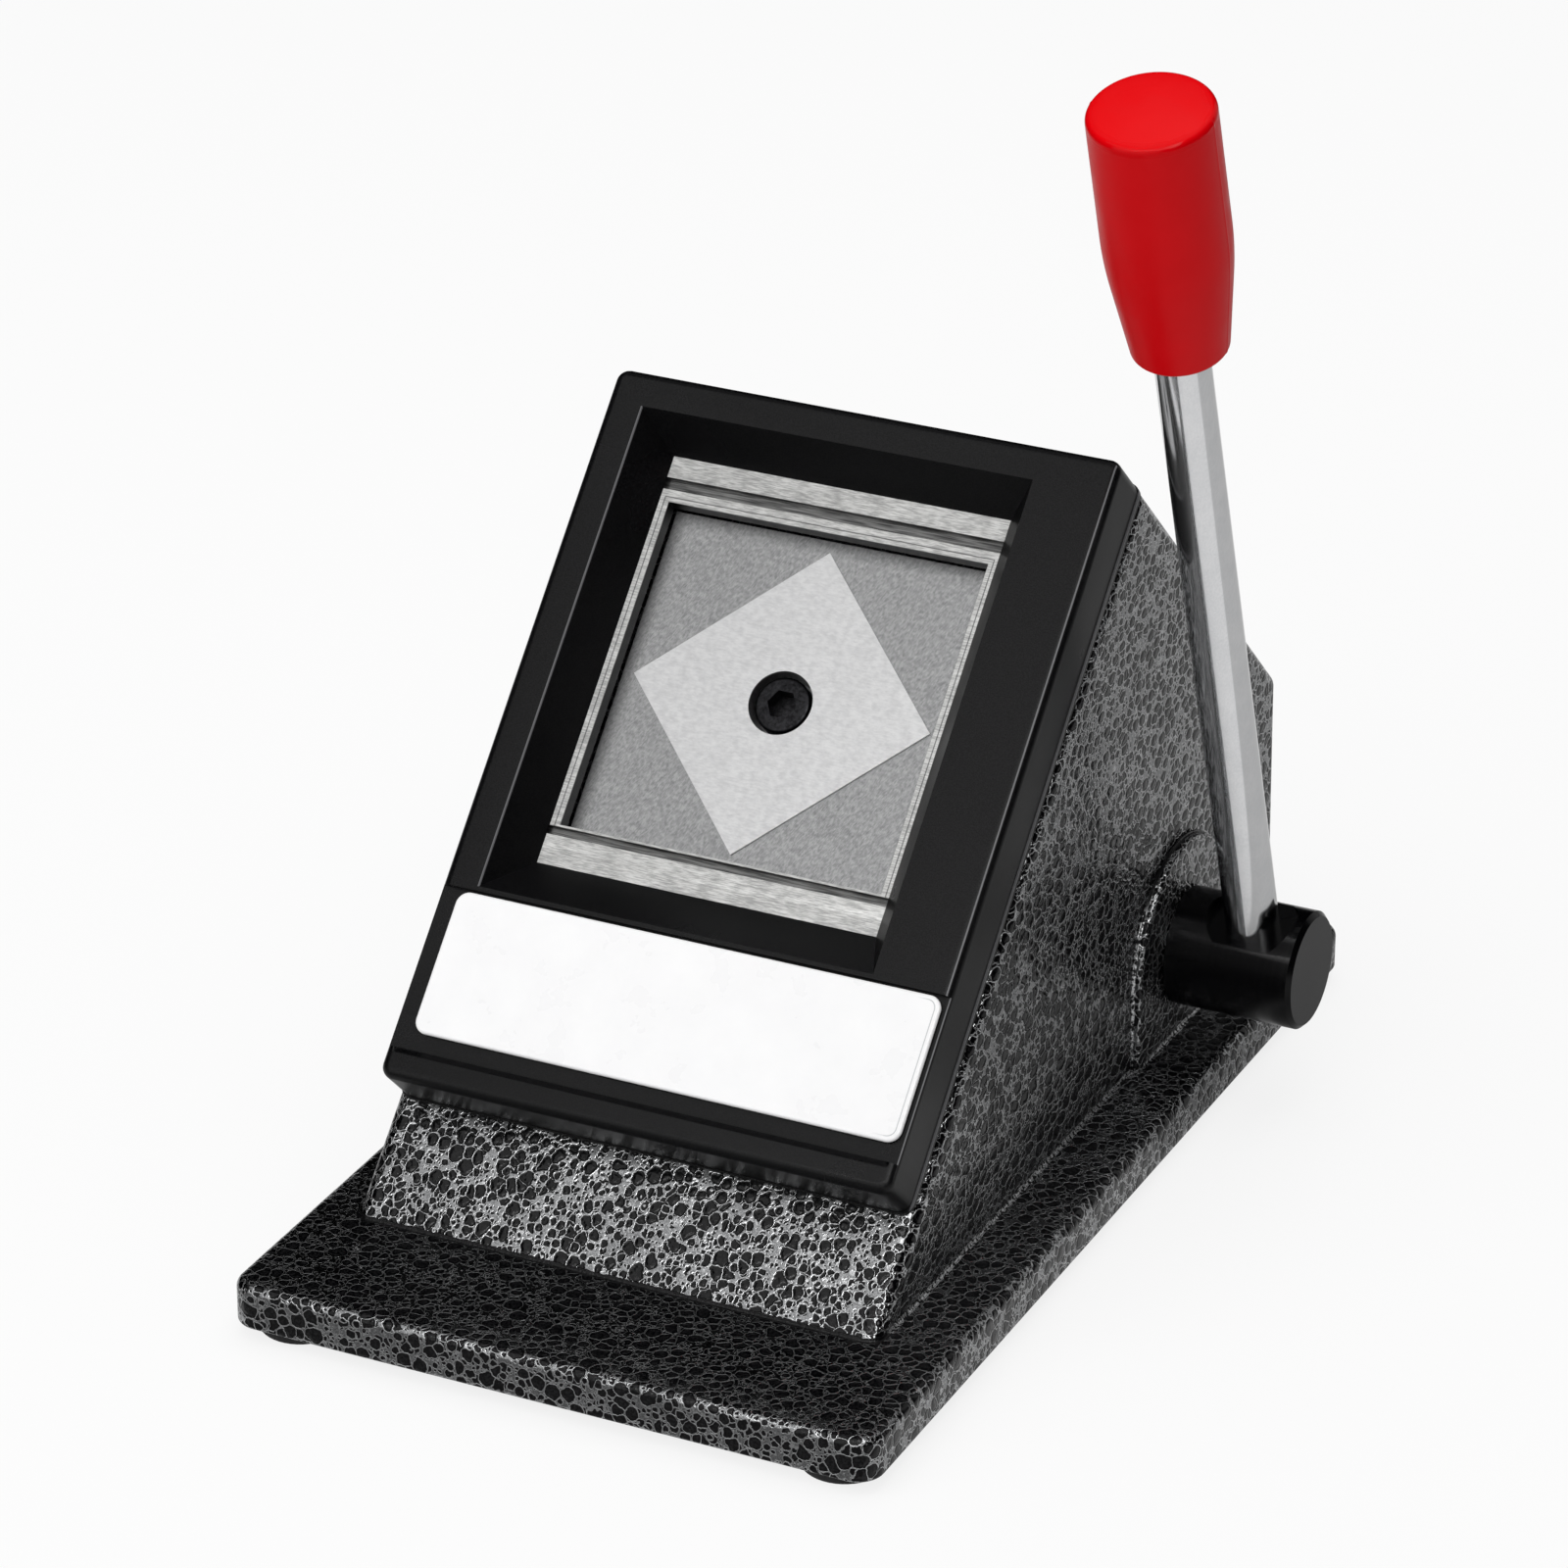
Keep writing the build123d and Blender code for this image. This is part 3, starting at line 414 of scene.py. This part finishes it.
# Screws of the base, the bezel, the die, the collar and the hub: zinc-plated steel,
# with a soft uneven shine and a faint yellow cast from the plating.


def metal(name, dark, light, roughness, grain, turn=(0, 0, 0), depth=0.000006, stain=0.004):
    """Bare or plated metal: a grain of cells drawn out along the cut, over soft stains."""
    material, tree, shader = new_finish(name)
    fine = cloud(tree, place(tree, grain, turn), 4.0, 0.6)
    patch = cloud(tree, place(tree, stain), 3.0)
    share = calc(tree, "MULTIPLY_ADD", fine, 0.6, calc(tree, "MULTIPLY", patch, 0.4))
    colour = blend(tree, step(tree, share, 0.3, 0.7), dark, light)
    tree.links.new(colour, shader.inputs["Base Color"])
    rough = step(tree, share, 0.25, 0.75, roughness * 1.25, roughness * 0.85)
    tree.links.new(rough, shader.inputs["Roughness"])
    relief(tree, shader, fine, depth)
    set_shader(shader, Metallic=1.0)
    return material


zinc = metal(
    "zinc_plate", dark=tone(170, 172, 168), light=tone(214, 214, 205), roughness=0.28, grain=0.0004
)
for name in ("base_screws", "bezel_screws", "die_screws", "collar_screw", "hub_screw"):
    nodes[name].data.materials[0] = zinc

# Bezel: one black moulding with a fine satin skin, held by four screws from inside the housing.
# Grey lines on it are painted highlights: along the sides of its thin back flange, on the left
# edge of the window, and on the right edges of the face and of the label trough.
slope_turn = (46.0, 0.0, 0.0)
seat_place = (-0.0018, -0.04881, 0.02225)

# In millimetres on the bezel's seat: across it, up the slope and out of it.
lip_edge = 4.5
lip_edge_round = 0.9
flat_half = 38.6
window_left = -34.3
window_low = 30.0
window_high = 105.6
face_out = 9.8
trough_top = 29.3
trough_edge = 39.75
face_edge = 39.3
flange_edge = 40.0
flange_highlight_from = 0.45
flange_highlight_to = 0.95


def seat_places(tree):
    """Place in millimetres on the bezel's seat: across, up the slope, and out of it."""
    local = place(tree, 0.001, slope_turn, seat_place)
    return add(tree, "SeparateXYZ", {"Vector": local}).outputs


def thin_line(tree, value, middle, half_width):
    """1 where the value is within this distance of the middle, and soon 0 beyond it."""
    away = calc(tree, "ABSOLUTE", calc(tree, "SUBTRACT", value, middle))
    return step(tree, away, half_width, half_width + 0.08, 1.0, 0.0)


def satin_moulding():
    """Near-black with a fine even grain in its skin and faint broad changes of sheen. Relief
    rounds the upper edge of the lip below the label trough, and grey lines along some edges are
    painted highlights."""
    material, tree, shader = new_finish("satin_moulding")
    grain = cloud(tree, place(tree, 0.00018), 2.0)
    sheen = cloud(tree, place(tree, 0.02), 2.0)
    colour = blend(tree, step(tree, grain, 0.3, 0.7), tone(2, 2, 3), tone(18, 18, 19))
    tree.links.new(step(tree, sheen, 0.3, 0.7, 0.27, 0.35), shader.inputs["Roughness"])
    across, up_slope, out = seat_places(tree)[:3]
    from_middle = calc(tree, "ABSOLUTE", across)
    drop = step(tree, up_slope, lip_edge - lip_edge_round, lip_edge + 0.02)
    beyond = step(tree, up_slope, lip_edge + 0.03, lip_edge + 0.2, 1.0, 0.0)
    on_top = step(tree, from_middle, flat_half - 0.4, flat_half + 0.3, -1.0, 0.0)
    lip = calc(tree, "MULTIPLY", calc(tree, "MULTIPLY", drop, beyond), on_top)
    relief(tree, shader, calc(tree, "MULTIPLY_ADD", grain, 0.02, lip), 0.0006)
    # Painted highlight: a grey line along the sides of the thin back flange.
    flange = step(tree, out, flange_highlight_from, flange_highlight_from + 0.15)
    flange_end = step(tree, out, flange_highlight_to - 0.15, flange_highlight_to, 1.0, 0.0)
    flange = calc(tree, "MULTIPLY", flange, flange_end)
    flange_side = step(tree, from_middle, flange_edge - 0.1, flange_edge + 0.1)
    flange = calc(tree, "MULTIPLY", flange, flange_side)
    # Painted highlights: thin grey lines on the window's left edge, on the face's right edge and on
    # the label trough's right edge.
    on_face = calc(tree, "GREATER_THAN", out, face_out)
    window_line = thin_line(tree, across, window_left, half_width=0.08)
    by_window = calc(tree, "MULTIPLY", window_line, on_face)
    by_window = calc(tree, "MULTIPLY", by_window, calc(tree, "GREATER_THAN", up_slope, window_low))
    by_window = calc(tree, "MULTIPLY", by_window, calc(tree, "LESS_THAN", up_slope, window_high))
    face_line = thin_line(tree, across, face_edge, half_width=0.06)
    by_face = calc(tree, "MULTIPLY", face_line, on_face)
    by_face = calc(tree, "MULTIPLY", by_face, calc(tree, "GREATER_THAN", up_slope, trough_top))
    in_trough = calc(tree, "MULTIPLY", calc(tree, "LESS_THAN", up_slope, trough_top), out)
    trough_line = thin_line(tree, across, trough_edge, half_width=0.06)
    by_trough = calc(tree, "GREATER_THAN", in_trough, face_out - 0.6)
    by_trough = calc(tree, "MULTIPLY", by_trough, trough_line)
    by_trough = calc(tree, "MULTIPLY", by_trough, calc(tree, "GREATER_THAN", up_slope, lip_edge))
    edge_highlights = calc(tree, "MAXIMUM", by_window, calc(tree, "MAXIMUM", by_face, by_trough))
    colour = blend(tree, flange, colour, tone(92, 92, 94))
    tree.links.new(blend(tree, edge_highlights, colour, tone(104, 104, 106)), shader.inputs["Base Color"])
    set_shader(shader, Specular_IOR_Level=0.18)
    return material


def merged_copy(name, finish, flat_angle, sharp_angle):
    """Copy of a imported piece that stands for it: its triangles are merged, and those that lie
    flat within the first angle are joined. Edges past the second angle stay sharp."""
    merge_distance = 0.000002
    node = nodes[name]
    mesh = bmesh.new()
    mesh.from_mesh(node.data)
    bmesh.ops.remove_doubles(mesh, verts=mesh.verts, dist=merge_distance)
    bmesh.ops.dissolve_limit(
        mesh, angle_limit=radians(flat_angle), verts=mesh.verts, edges=mesh.edges
    )
    data = bpy.data.meshes.new(name + "_finished")
    mesh.to_mesh(data)
    mesh.free()
    data.shade_smooth()
    data.set_sharp_from_angle(angle=radians(sharp_angle))
    data.materials.clear()
    data.materials.append(finish)
    piece = bpy.data.objects.new(name + "_finished", data)
    bpy.context.scene.collection.objects.link(piece)
    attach(piece, node["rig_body"])
    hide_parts(name)
    return piece


def softened(name, edge_round, finish):
    """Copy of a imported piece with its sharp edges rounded, so that they catch light."""
    piece = merged_copy(name, finish, 0.5, 24)
    bevel = piece.modifiers.new("edge_round", "BEVEL")
    bevel.width = edge_round
    bevel.segments = 3
    bevel.limit_method = "ANGLE"
    bevel.angle_limit = radians(28)
    bevel.harden_normals = True


softened("bezel", 0.00025, satin_moulding())

# Label plate: a bare white plate stuck in the bezel's trough, with a grey line of painted shade
# just inside its right edge, standing in for the shade of its rounded edge. Its sizes are in
# millimetres on the bezel's seat.
label_middle = (1.1, 18.05)
label_line_half = (37.25, 10.1)
label_line_radius = 1.3
label_line_from = 35.0


def white_plate():
    """Gloss white with the faintest cloudiness. A grey line of painted shade, standing in for the
    shade of its rounded edge, runs where the distance to a rectangle with round corners is nil,
    and fades out away from the right edge."""
    material, tree, shader = new_finish("white_plate")
    haze = cloud(tree, place(tree, 0.006), 4.0)
    colour = blend(tree, haze, tone(232, 232, 233), tone(242, 242, 242))
    places = seat_places(tree)
    beyond = []
    for axis in (0, 1):
        away = calc(tree, "ABSOLUTE", calc(tree, "SUBTRACT", places[axis], label_middle[axis]))
        beyond.append(calc(tree, "SUBTRACT", away, label_line_half[axis] - label_line_radius))
    outside = [calc(tree, "MAXIMUM", part, 0.0) for part in beyond]
    corner = add(tree, "CombineXYZ", {"X": outside[0], "Y": outside[1]}).outputs[0]
    reach = add(tree, "VectorMath", {0: corner}, operation="LENGTH").outputs["Value"]
    short = calc(tree, "MINIMUM", calc(tree, "MAXIMUM", *beyond), 0.0)
    line = thin_line(tree, calc(tree, "ADD", reach, short), label_line_radius, half_width=0.04)
    line = calc(tree, "MULTIPLY", line, step(tree, places[0], label_line_from, label_line_from + 3))
    # Painted shade: the grey line stands in for the shade of the plate's rounded right edge.
    colour = blend(tree, line, colour, tone(186, 188, 190))
    tree.links.new(colour, shader.inputs["Base Color"])
    tree.links.new(step(tree, haze, 0.3, 0.7, 0.26, 0.36), shader.inputs["Roughness"])
    relief(tree, shader, cloud(tree, place(tree, 0.0006), 2.0), 0.000006)
    return material


softened("label_plate", 0.00040, white_plate())

# Die plate and the thin guide under it: steel ground along its width, screwed to the housing.
# The floors of its two milled grooves are darker, partly from their duller milled finish and
# partly painted shade, and the walls of its opening are painted nearly black as shade.
# Its sizes are in millimetres on the bezel's seat.
die_face = 3.3
die_middle = (-3.1, 68.8)
opening_half = 25.5
rim_line = 0.75


def ground_steel():
    """Grinding lines along the width, with a thin dark line round the opening. Below the ground
    face it is darker and streaked, partly a duller milled finish and partly painted shade, and
    painted nearly black on the opening's walls as shade."""
    material, tree, shader = new_finish("ground_steel")
    fine = cloud(tree, place(tree, (0.0016, 0.00016, 0.00016), slope_turn), 3.0, 0.6)
    along = cloud(tree, place(tree, (0.005, 0.00022, 0.004), slope_turn), 3.0)
    upright = cloud(tree, place(tree, (0.005, 0.00022, 0.003), slope_turn), 3.0)
    marks = calc(tree, "MULTIPLY_ADD", along, 0.5, calc(tree, "MULTIPLY", upright, 0.5))
    patch = cloud(tree, place(tree, 0.003), 3.0)
    share = calc(tree, "MULTIPLY_ADD", fine, 0.75, calc(tree, "MULTIPLY", patch, 0.25))
    ground = step(tree, share, 0.35, 0.65)
    bright = blend(tree, ground, tone(156, 156, 155), tone(208, 208, 206))
    streak = step(tree, marks, 0.35, 0.65)
    dull_and_shaded = blend(tree, streak, tone(62, 62, 62), tone(124, 124, 123))
    across, up_slope, out = seat_places(tree)[:3]
    from_middle = calc(tree, "ABSOLUTE", calc(tree, "SUBTRACT", across, die_middle[0]))
    from_middle_up = calc(tree, "ABSOLUTE", calc(tree, "SUBTRACT", up_slope, die_middle[1]))
    farther = calc(tree, "MAXIMUM", from_middle, from_middle_up)
    beyond = calc(tree, "SUBTRACT", farther, opening_half)
    # Painted shade: the walls of the opening are painted nearly black.
    opening_wall_shade = step(tree, beyond, 0.10, 0.20, 1.0, 0.0)
    dull_and_shaded = blend(tree, opening_wall_shade, dull_and_shaded, tone(7, 7, 7))
    # A thin dark line round the opening, 0.75 mm out from it.
    from_line = calc(tree, "ABSOLUTE", calc(tree, "SUBTRACT", beyond, rim_line))
    dark_rim_line = step(tree, from_line, 0.04, 0.14, 0.75, 0.0)
    bright = blend(tree, dark_rim_line, bright, tone(70, 70, 70))
    # Below the ground face the steel is painted darker: partly its duller milled finish, partly
    # painted shade.
    low = step(tree, out, die_face - 0.35, die_face - 0.08, 1.0, 0.0)
    tree.links.new(blend(tree, low, bright, dull_and_shaded), shader.inputs["Base Color"])
    tree.links.new(step(tree, share, 0.3, 0.7, 0.42, 0.30), shader.inputs["Roughness"])
    relief(tree, shader, calc(tree, "ADD", fine, marks), 0.000006)
    set_shader(shader, Metallic=1.0)
    return material


softened("die_plate", 0.00012, ground_steel())
nodes["photo_guide"].data.materials[0] = metal(
    "rolled_shim", dark=tone(140, 142, 145), light=tone(190, 192, 194), roughness=0.3,
    grain=(0.006, 0.0003, 0.0003), turn=slope_turn,
)

# Punch: a hardened steel block ground cornerwise, with a thin bright plate turned
# 45 degrees on its face under the head of one blackened socket screw.
nodes["punch"].data.materials[0] = metal(
    "punch_steel", dark=tone(128, 129, 130), light=tone(172, 172, 172), roughness=0.38,
    grain=(0.00016, 0.0008, 0.00016), turn=(46.0, 0.0, -35.0), depth=0.000008, stain=0.0006,
)
nodes["punch_face_plate"].data.materials[0] = metal(
    "bright_plate", dark=tone(201, 201, 202), light=tone(217, 217, 217), roughness=0.45,
    grain=(0.0009, 0.0003, 0.0003), turn=slope_turn, depth=0.000004, stain=0.0012,
)
nodes["punch_screw"].data.materials[0] = metal(
    "blackened_steel", dark=tone(20, 20, 21), light=tone(52, 52, 54), roughness=0.34, grain=0.0005
)

# Punch holder, pillars, cam, shaft and their small parts inside the housing:
# machined steel, with bronze bushes and springs of oiled spring steel.
machined = metal(
    "machined_steel", dark=tone(138, 140, 143), light=tone(186, 188, 190), roughness=0.3,
    grain=(0.0012, 0.0003, 0.0012),
)
for name in (
    "punch_holder", "guide_pillars", "roller_pin", "cam_roller", "cam", "cam_key", "drive_shaft",
    "shaft_collar",
):
    nodes[name].data.materials[0] = machined
oiled = metal(
    "oiled_spring_steel", dark=tone(60, 62, 66), light=tone(112, 114, 118), roughness=0.3,
    grain=0.0005,
)
nodes["pillar_rings"].data.materials[0] = oiled
bronze = metal(
    "sintered_bronze", dark=tone(120, 84, 46), light=tone(190, 142, 84), roughness=0.45,
    grain=0.0003,
)
for name in ("pillar_bushes", "left_bush", "right_bush"):
    nodes[name].data.materials[0] = bronze

# Return springs: four coils of oiled spring steel on the pillars, between the bushes of the
# punch and the wall in front of them. In use they shorten as the punch rises; here they keep
# the shape of the imported model.
springs = merged_copy("return_springs", oiled, 0.0, 60)
spring_points = np.empty(len(springs.data.vertices) * 3)
springs.data.vertices.foreach_get("co", spring_points)
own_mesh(springs)

# Lever hub: a drum of turned steel with a black satin coat, pushed on the end of the shaft and
# held there by a set screw from below.


def black_coat():
    """Black coat over turned steel: faint rings about the shaft and a soft satin shine."""
    material, tree, shader = new_finish("black_coat")
    rings = cloud(tree, place(tree, (0.00035, 0.02, 0.02)), 3.0)
    colour = blend(tree, rings, tone(1, 1, 2), tone(4, 4, 5))
    tree.links.new(colour, shader.inputs["Base Color"])
    tree.links.new(step(tree, rings, 0.3, 0.7, 0.18, 0.24), shader.inputs["Roughness"])
    relief(tree, shader, rings, 0.000004)
    set_shader(shader, Specular_IOR_Level=0.17)
    return material


softened("lever_hub", 0.00015, black_coat())

# Lever rod: an 8 mm steel bar, polished and chromed, screwed into the hub. Its lean back from
# upright is in degrees.
lever_lean = 18.3
nodes["lever_rod"].data.materials[0] = metal(
    "chrome", dark=tone(226, 227, 229), light=tone(240, 240, 241), roughness=0.11,
    grain=(0.0002, 0.0002, 0.01), turn=(-lever_lean, 0.0, 0.0), depth=0.000001,
)

# Lever grip: a red plastic moulding pushed on the rod, tapered below its waist and domed
# on top, with the fine raised line of its two-part mould down both sides.
lever_place = (0.0524, 0.0435, 0.0225)
rod_hole_radius = 0.00402
rod_hole_end = 0.1497
grip_foot = 0.1177
grip_end = 0.1590
foot_radius = 0.0069
waist_radius = 0.00906
waist_height = 0.01652
rim_radius = 0.00897
dome_height = 0.0008
foot_round = 0.0008
waist_round = 0.06
rim_round = 0.0010
seam_height = 0.00006
seam_width = 0.00022


def round_corners(points, radii, steps=9):
    """Open outline whose inner corners become arcs: each arc starts and ends where a circle of
    the radius touches both runs, and its points turn evenly from one to the other."""
    points = np.array(points)
    pieces = [points[:1]]
    for before, corner, after, radius in zip(points, points[1:], points[2:], radii):
        back = (before - corner) / np.linalg.norm(before - corner)
        ahead = (after - corner) / np.linalg.norm(after - corner)
        half = np.arccos(np.clip(back @ ahead, -1, 1)) / 2
        centre = corner + (back + ahead) / np.linalg.norm(back + ahead) * radius / np.sin(half)
        start = corner + back * radius / np.tan(half) - centre
        side = corner + ahead * radius / np.tan(half) - centre
        turn = np.pi - 2 * half
        share = np.linspace(0, 1, steps)[:, None]
        arc = (start * np.sin((1 - share) * turn) + side * np.sin(share * turn)) / np.sin(turn)
        pieces.append(centre + arc)
    return np.concatenate([*pieces, points[-1:]])


def grip_surface():
    """Profile turned about the rod: bore, foot, taper, waist, rim and dome. The radius gains a
    low bell-shaped ridge at the two mould lines, and nothing elsewhere."""
    rim_height = grip_end - dome_height
    dome_radius = (rim_radius**2 + dome_height**2) / (2 * dome_height)
    outer = round_corners(
        [
            (rod_hole_radius, grip_foot), (foot_radius, grip_foot),
            (waist_radius, grip_foot + waist_height), (rim_radius, rim_height),
            (0.55 * rim_radius, grip_end - 0.3 * dome_height),
        ],
        [foot_round, waist_round, rim_round],
    )
    inward = np.linspace(outer[-1, 0], 0, 12)[1:, None]
    dome = np.hstack([inward, grip_end - dome_radius + np.sqrt(dome_radius**2 - inward**2)])
    hole = [(0, rod_hole_end), (rod_hole_radius, rod_hole_end)]
    profile = np.concatenate([hole, outer, dome])
    even = np.linspace(-1, 1, 121)
    fine = (0.35 * even + 0.65 * even**3) * np.pi / 2
    angles = np.concatenate([fine[:-1], fine[:-1] + np.pi])
    from_seam = np.tile(np.abs(fine[:-1]), 2)
    radius = profile[:, :1] + 0 * angles
    on_side = (profile[:, :1] > rod_hole_radius * 1.01) & (profile[:, 1:] < rim_height)
    ridge = seam_height * np.exp(-((from_seam * profile[:, :1] / seam_width) ** 2))
    radius = radius + ridge * on_side
    lean = radians(lever_lean)
    ahead = np.array([0, np.cos(lean), np.sin(lean)])
    up = np.array([0, -np.sin(lean), np.cos(lean)])
    points = np.array(lever_place) + profile[:, 1][:, None, None] * up
    points = points + (radius * np.cos(angles))[..., None] * np.array([1, 0, 0])
    return points + (radius * np.sin(angles))[..., None] * ahead


def red_moulding():
    """Strong red with a slightly cloudy colour and a fine satin skin, painted a little lighter on
    its end as light from above falls there, and rubbed glossy round the rim."""
    material, tree, shader = new_finish("red_moulding")
    haze = cloud(tree, place(tree, 0.005), 3.0)
    local = place(tree, 0.001, (lever_lean, 0, 0), lever_place)
    along = add(tree, "SeparateXYZ", {"Vector": local}).outputs[2]
    side = blend(tree, haze, tone(186, 0, 6), tone(196, 0, 10))
    # Painted light: the end is painted a lighter red, as light from above falls on it.
    from_end = calc(tree, "SUBTRACT", grip_end * 1000, along)
    end = step(tree, from_end, 0.5, 1.3, 1.0, 0.0)
    colour = blend(tree, end, side, tone(222, 4, 12))
    tree.links.new(colour, shader.inputs["Base Color"])
    rim = step(tree, from_end, 0.5, 0.9)
    rim = calc(tree, "MULTIPLY", rim, step(tree, from_end, 1.6, 2.2, 1.0, 0.0))
    skin = step(tree, haze, 0.3, 0.7, 0.30, 0.40)
    rough = calc(tree, "MULTIPLY", skin, calc(tree, "MULTIPLY_ADD", rim, -0.72, 1.0))
    tree.links.new(rough, shader.inputs["Roughness"])
    relief(tree, shader, cloud(tree, place(tree, 0.0003), 2.0), 0.000012)
    set_shader(shader, Specular_IOR_Level=0.10)
    return material


grip_points = grip_surface()
grip = put_mesh(
    "grip_moulding", grip_points, grid_faces(*grip_points.shape[:2], closed_columns=True),
    red_moulding(), "lever",
)
grip.data.set_sharp_from_angle(angle=radians(35))
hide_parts("lever_grip")

# Studio: a pale floor and soft lamps, none of it part of the cutter.
# The camera sees a white surround, and reflections see a greyer one.


def light_path_share(tree):
    """1 for a ray from the camera, in a mirror or through glass, and 0 for one that gives light."""
    path = add(tree, "LightPath", {}).outputs
    seen = calc(tree, "MAXIMUM", path["Is Camera Ray"], path["Is Glossy Ray"])
    return calc(tree, "MAXIMUM", seen, path["Is Transmission Ray"])


def pale_floor():
    """Matt pale floor, raised to near white for the camera and greyer in reflections, with
    the cutter's light shadow left in it."""
    seen_white = 0.82
    mirrored_white = 0.5
    mirrored_loss = 0.4
    material, tree, shader = new_finish("pale_floor")
    output = tree.nodes["Material Output"]
    set_shader(shader, Base_Color=tone(238, 238, 238), Roughness=1.0, Specular_IOR_Level=0.0)
    path = add(tree, "LightPath", {}).outputs
    mirrored = calc(tree, "MAXIMUM", path["Is Glossy Ray"], path["Is Transmission Ray"])
    strength = calc(tree, "MULTIPLY_ADD", mirrored, -mirrored_loss, 1.0)
    white = add(tree, "Emission", {"Color": (1, 1, 1, 1), "Strength": strength}).outputs[0]
    in_mirror = calc(tree, "MULTIPLY", mirrored, mirrored_white)
    share = calc(tree, "MULTIPLY_ADD", path["Is Camera Ray"], seen_white, in_mirror)
    mixed = add(tree, "MixShader", {0: share, 1: shader.outputs[0], 2: white})
    tree.links.new(mixed.outputs[0], output.inputs["Surface"])
    return material


floor_half = 6.0
floor_mesh = bpy.data.meshes.new("floor")
corners = [(-floor_half, -floor_half, 0), (floor_half, -floor_half, 0)]
corners += [(floor_half, floor_half, 0), (-floor_half, floor_half, 0)]
floor_mesh.from_pydata(corners, [], [(0, 1, 2, 3)])
floor_mesh.materials.append(pale_floor())
floor = bpy.data.objects.new("floor", floor_mesh)
bpy.context.scene.collection.objects.link(floor)

ambient_strength = 0.40
mirrored_strength = 0.45
world = bpy.data.worlds.new("studio")
world.use_nodes = True
bpy.context.scene.world = world
world_tree = world.node_tree
ambient = world_tree.nodes["Background"]
ambient.inputs["Color"].default_value = (1, 1, 1, 1)
ambient.inputs["Strength"].default_value = ambient_strength
path = add(world_tree, "LightPath", {}).outputs
seen_strength = calc(world_tree, "MULTIPLY", path["Is Camera Ray"], 1 - mirrored_strength)
brightness = calc(world_tree, "ADD", seen_strength, mirrored_strength)
surround = add(world_tree, "Background", {"Color": (1, 1, 1, 1), "Strength": brightness})
inputs = {"Fac": light_path_share(world_tree), 1: ambient.outputs[0], 2: surround.outputs[0]}
seen = add(world_tree, "MixShader", inputs)
world_tree.links.new(seen.outputs[0], world_tree.nodes["World Output"].inputs["Surface"])

cutter_middle = 0.06


def soft_lamp(name, toward, distance, size, power):
    """Square lamp that stands in this direction from the middle of the cutter and faces it."""
    data = bpy.data.lights.new(name, "AREA")
    data.size = size
    data.energy = power
    lamp = bpy.data.objects.new(name, data)
    direction = Vector(toward).normalized()
    lamp.location = Vector((0, 0, cutter_middle)) + direction * distance
    lamp.rotation_euler = direction.to_track_quat("Z", "Y").to_euler()
    bpy.context.scene.collection.objects.link(lamp)
    return lamp


soft_lamp("key", toward=(-0.10, -0.75, 0.65), distance=1.5, size=2.4, power=20.6)
overhead = soft_lamp("overhead", toward=(0.0, 0.2, 1.0), distance=1.3, size=1.0, power=6.0)
overhead.visible_glossy = False


def card(name, toward, distance, width, height, shade, middle_height=cutter_middle, glow=0.0):
    """Card beside the cutter that shows only in reflections and shades nothing. A glowing one
    draws a light line along rounded edges."""
    direction = Vector(toward).normalized()
    side = direction.cross(Vector((0, 0, 1))).normalized() * width / 2
    rise = side.cross(direction).normalized() * height / 2
    middle = Vector((0, 0, middle_height)) + direction * distance
    low = middle - rise
    high = middle + rise
    corners = [low - side, low + side, high + side, high - side]
    data = bpy.data.meshes.new(name)
    data.from_pydata([tuple(c) for c in corners], [], [(0, 1, 2, 3)])
    material, tree, shader = new_finish(name)
    set_shader(shader, Base_Color=shade, Roughness=1.0, Specular_IOR_Level=0.0)
    set_shader(shader, Emission_Color=(1, 1, 1, 1), Emission_Strength=glow)
    data.materials.append(material)
    made = bpy.data.objects.new(name, data)
    for ray in ("camera", "diffuse", "shadow", "transmission"):
        setattr(made, "visible_" + ray, False)
    bpy.context.scene.collection.objects.link(made)
    return made


def floor_card(name, low, high, shade):
    """Grey rectangle just over the floor, seen only in reflections, between two corners."""
    over_floor = 0.0004
    made = card(name, toward=(0, -1, 0), distance=0.5, width=1.0, height=1.0, shade=shade)
    corners = [(low[0], low[1]), (high[0], low[1]), (high[0], high[1]), (low[0], high[1])]
    for vertex, (x, y) in zip(made.data.vertices, corners):
        vertex.co = (x, y, over_floor)


black_card = tone(10, 10, 10)
white_card = tone(240, 240, 240)
card(
    "lamp_backing", toward=(-0.10, -0.75, 0.65), distance=1.7, width=4.6, height=4.6,
    shade=black_card,
)
card(
    "right_card", toward=(1, 0, 0), distance=0.9, width=2.2, height=1.3, shade=black_card,
    middle_height=0.65,
)
card(
    "back_card", toward=(-0.5, 0.9, 0), distance=1.0, width=1.8, height=1.8,
    shade=tone(12, 12, 12), middle_height=0.9,
)
card(
    "left_card", toward=(-1, -0.2, 0), distance=1.1, width=1.6, height=1.3, shade=black_card,
    middle_height=0.65,
)
floor_card("right_floor_card", low=(0.052, 0.020), high=(0.30, 0.50), shade=tone(188, 188, 188))
floor_card("front_floor_card", low=(-0.25, -0.40), high=(0.08, -0.088), shade=tone(150, 150, 150))
card(
    "side_strip", toward=(0.52, -0.41, 0.74), distance=1.25, width=0.30, height=1.2,
    shade=white_card, glow=4.0,
)
card(
    "front_strip", toward=(0.22, -0.72, 0.64), distance=1.2, width=1.6, height=0.08,
    shade=white_card, middle_height=0.17, glow=9.0,
)
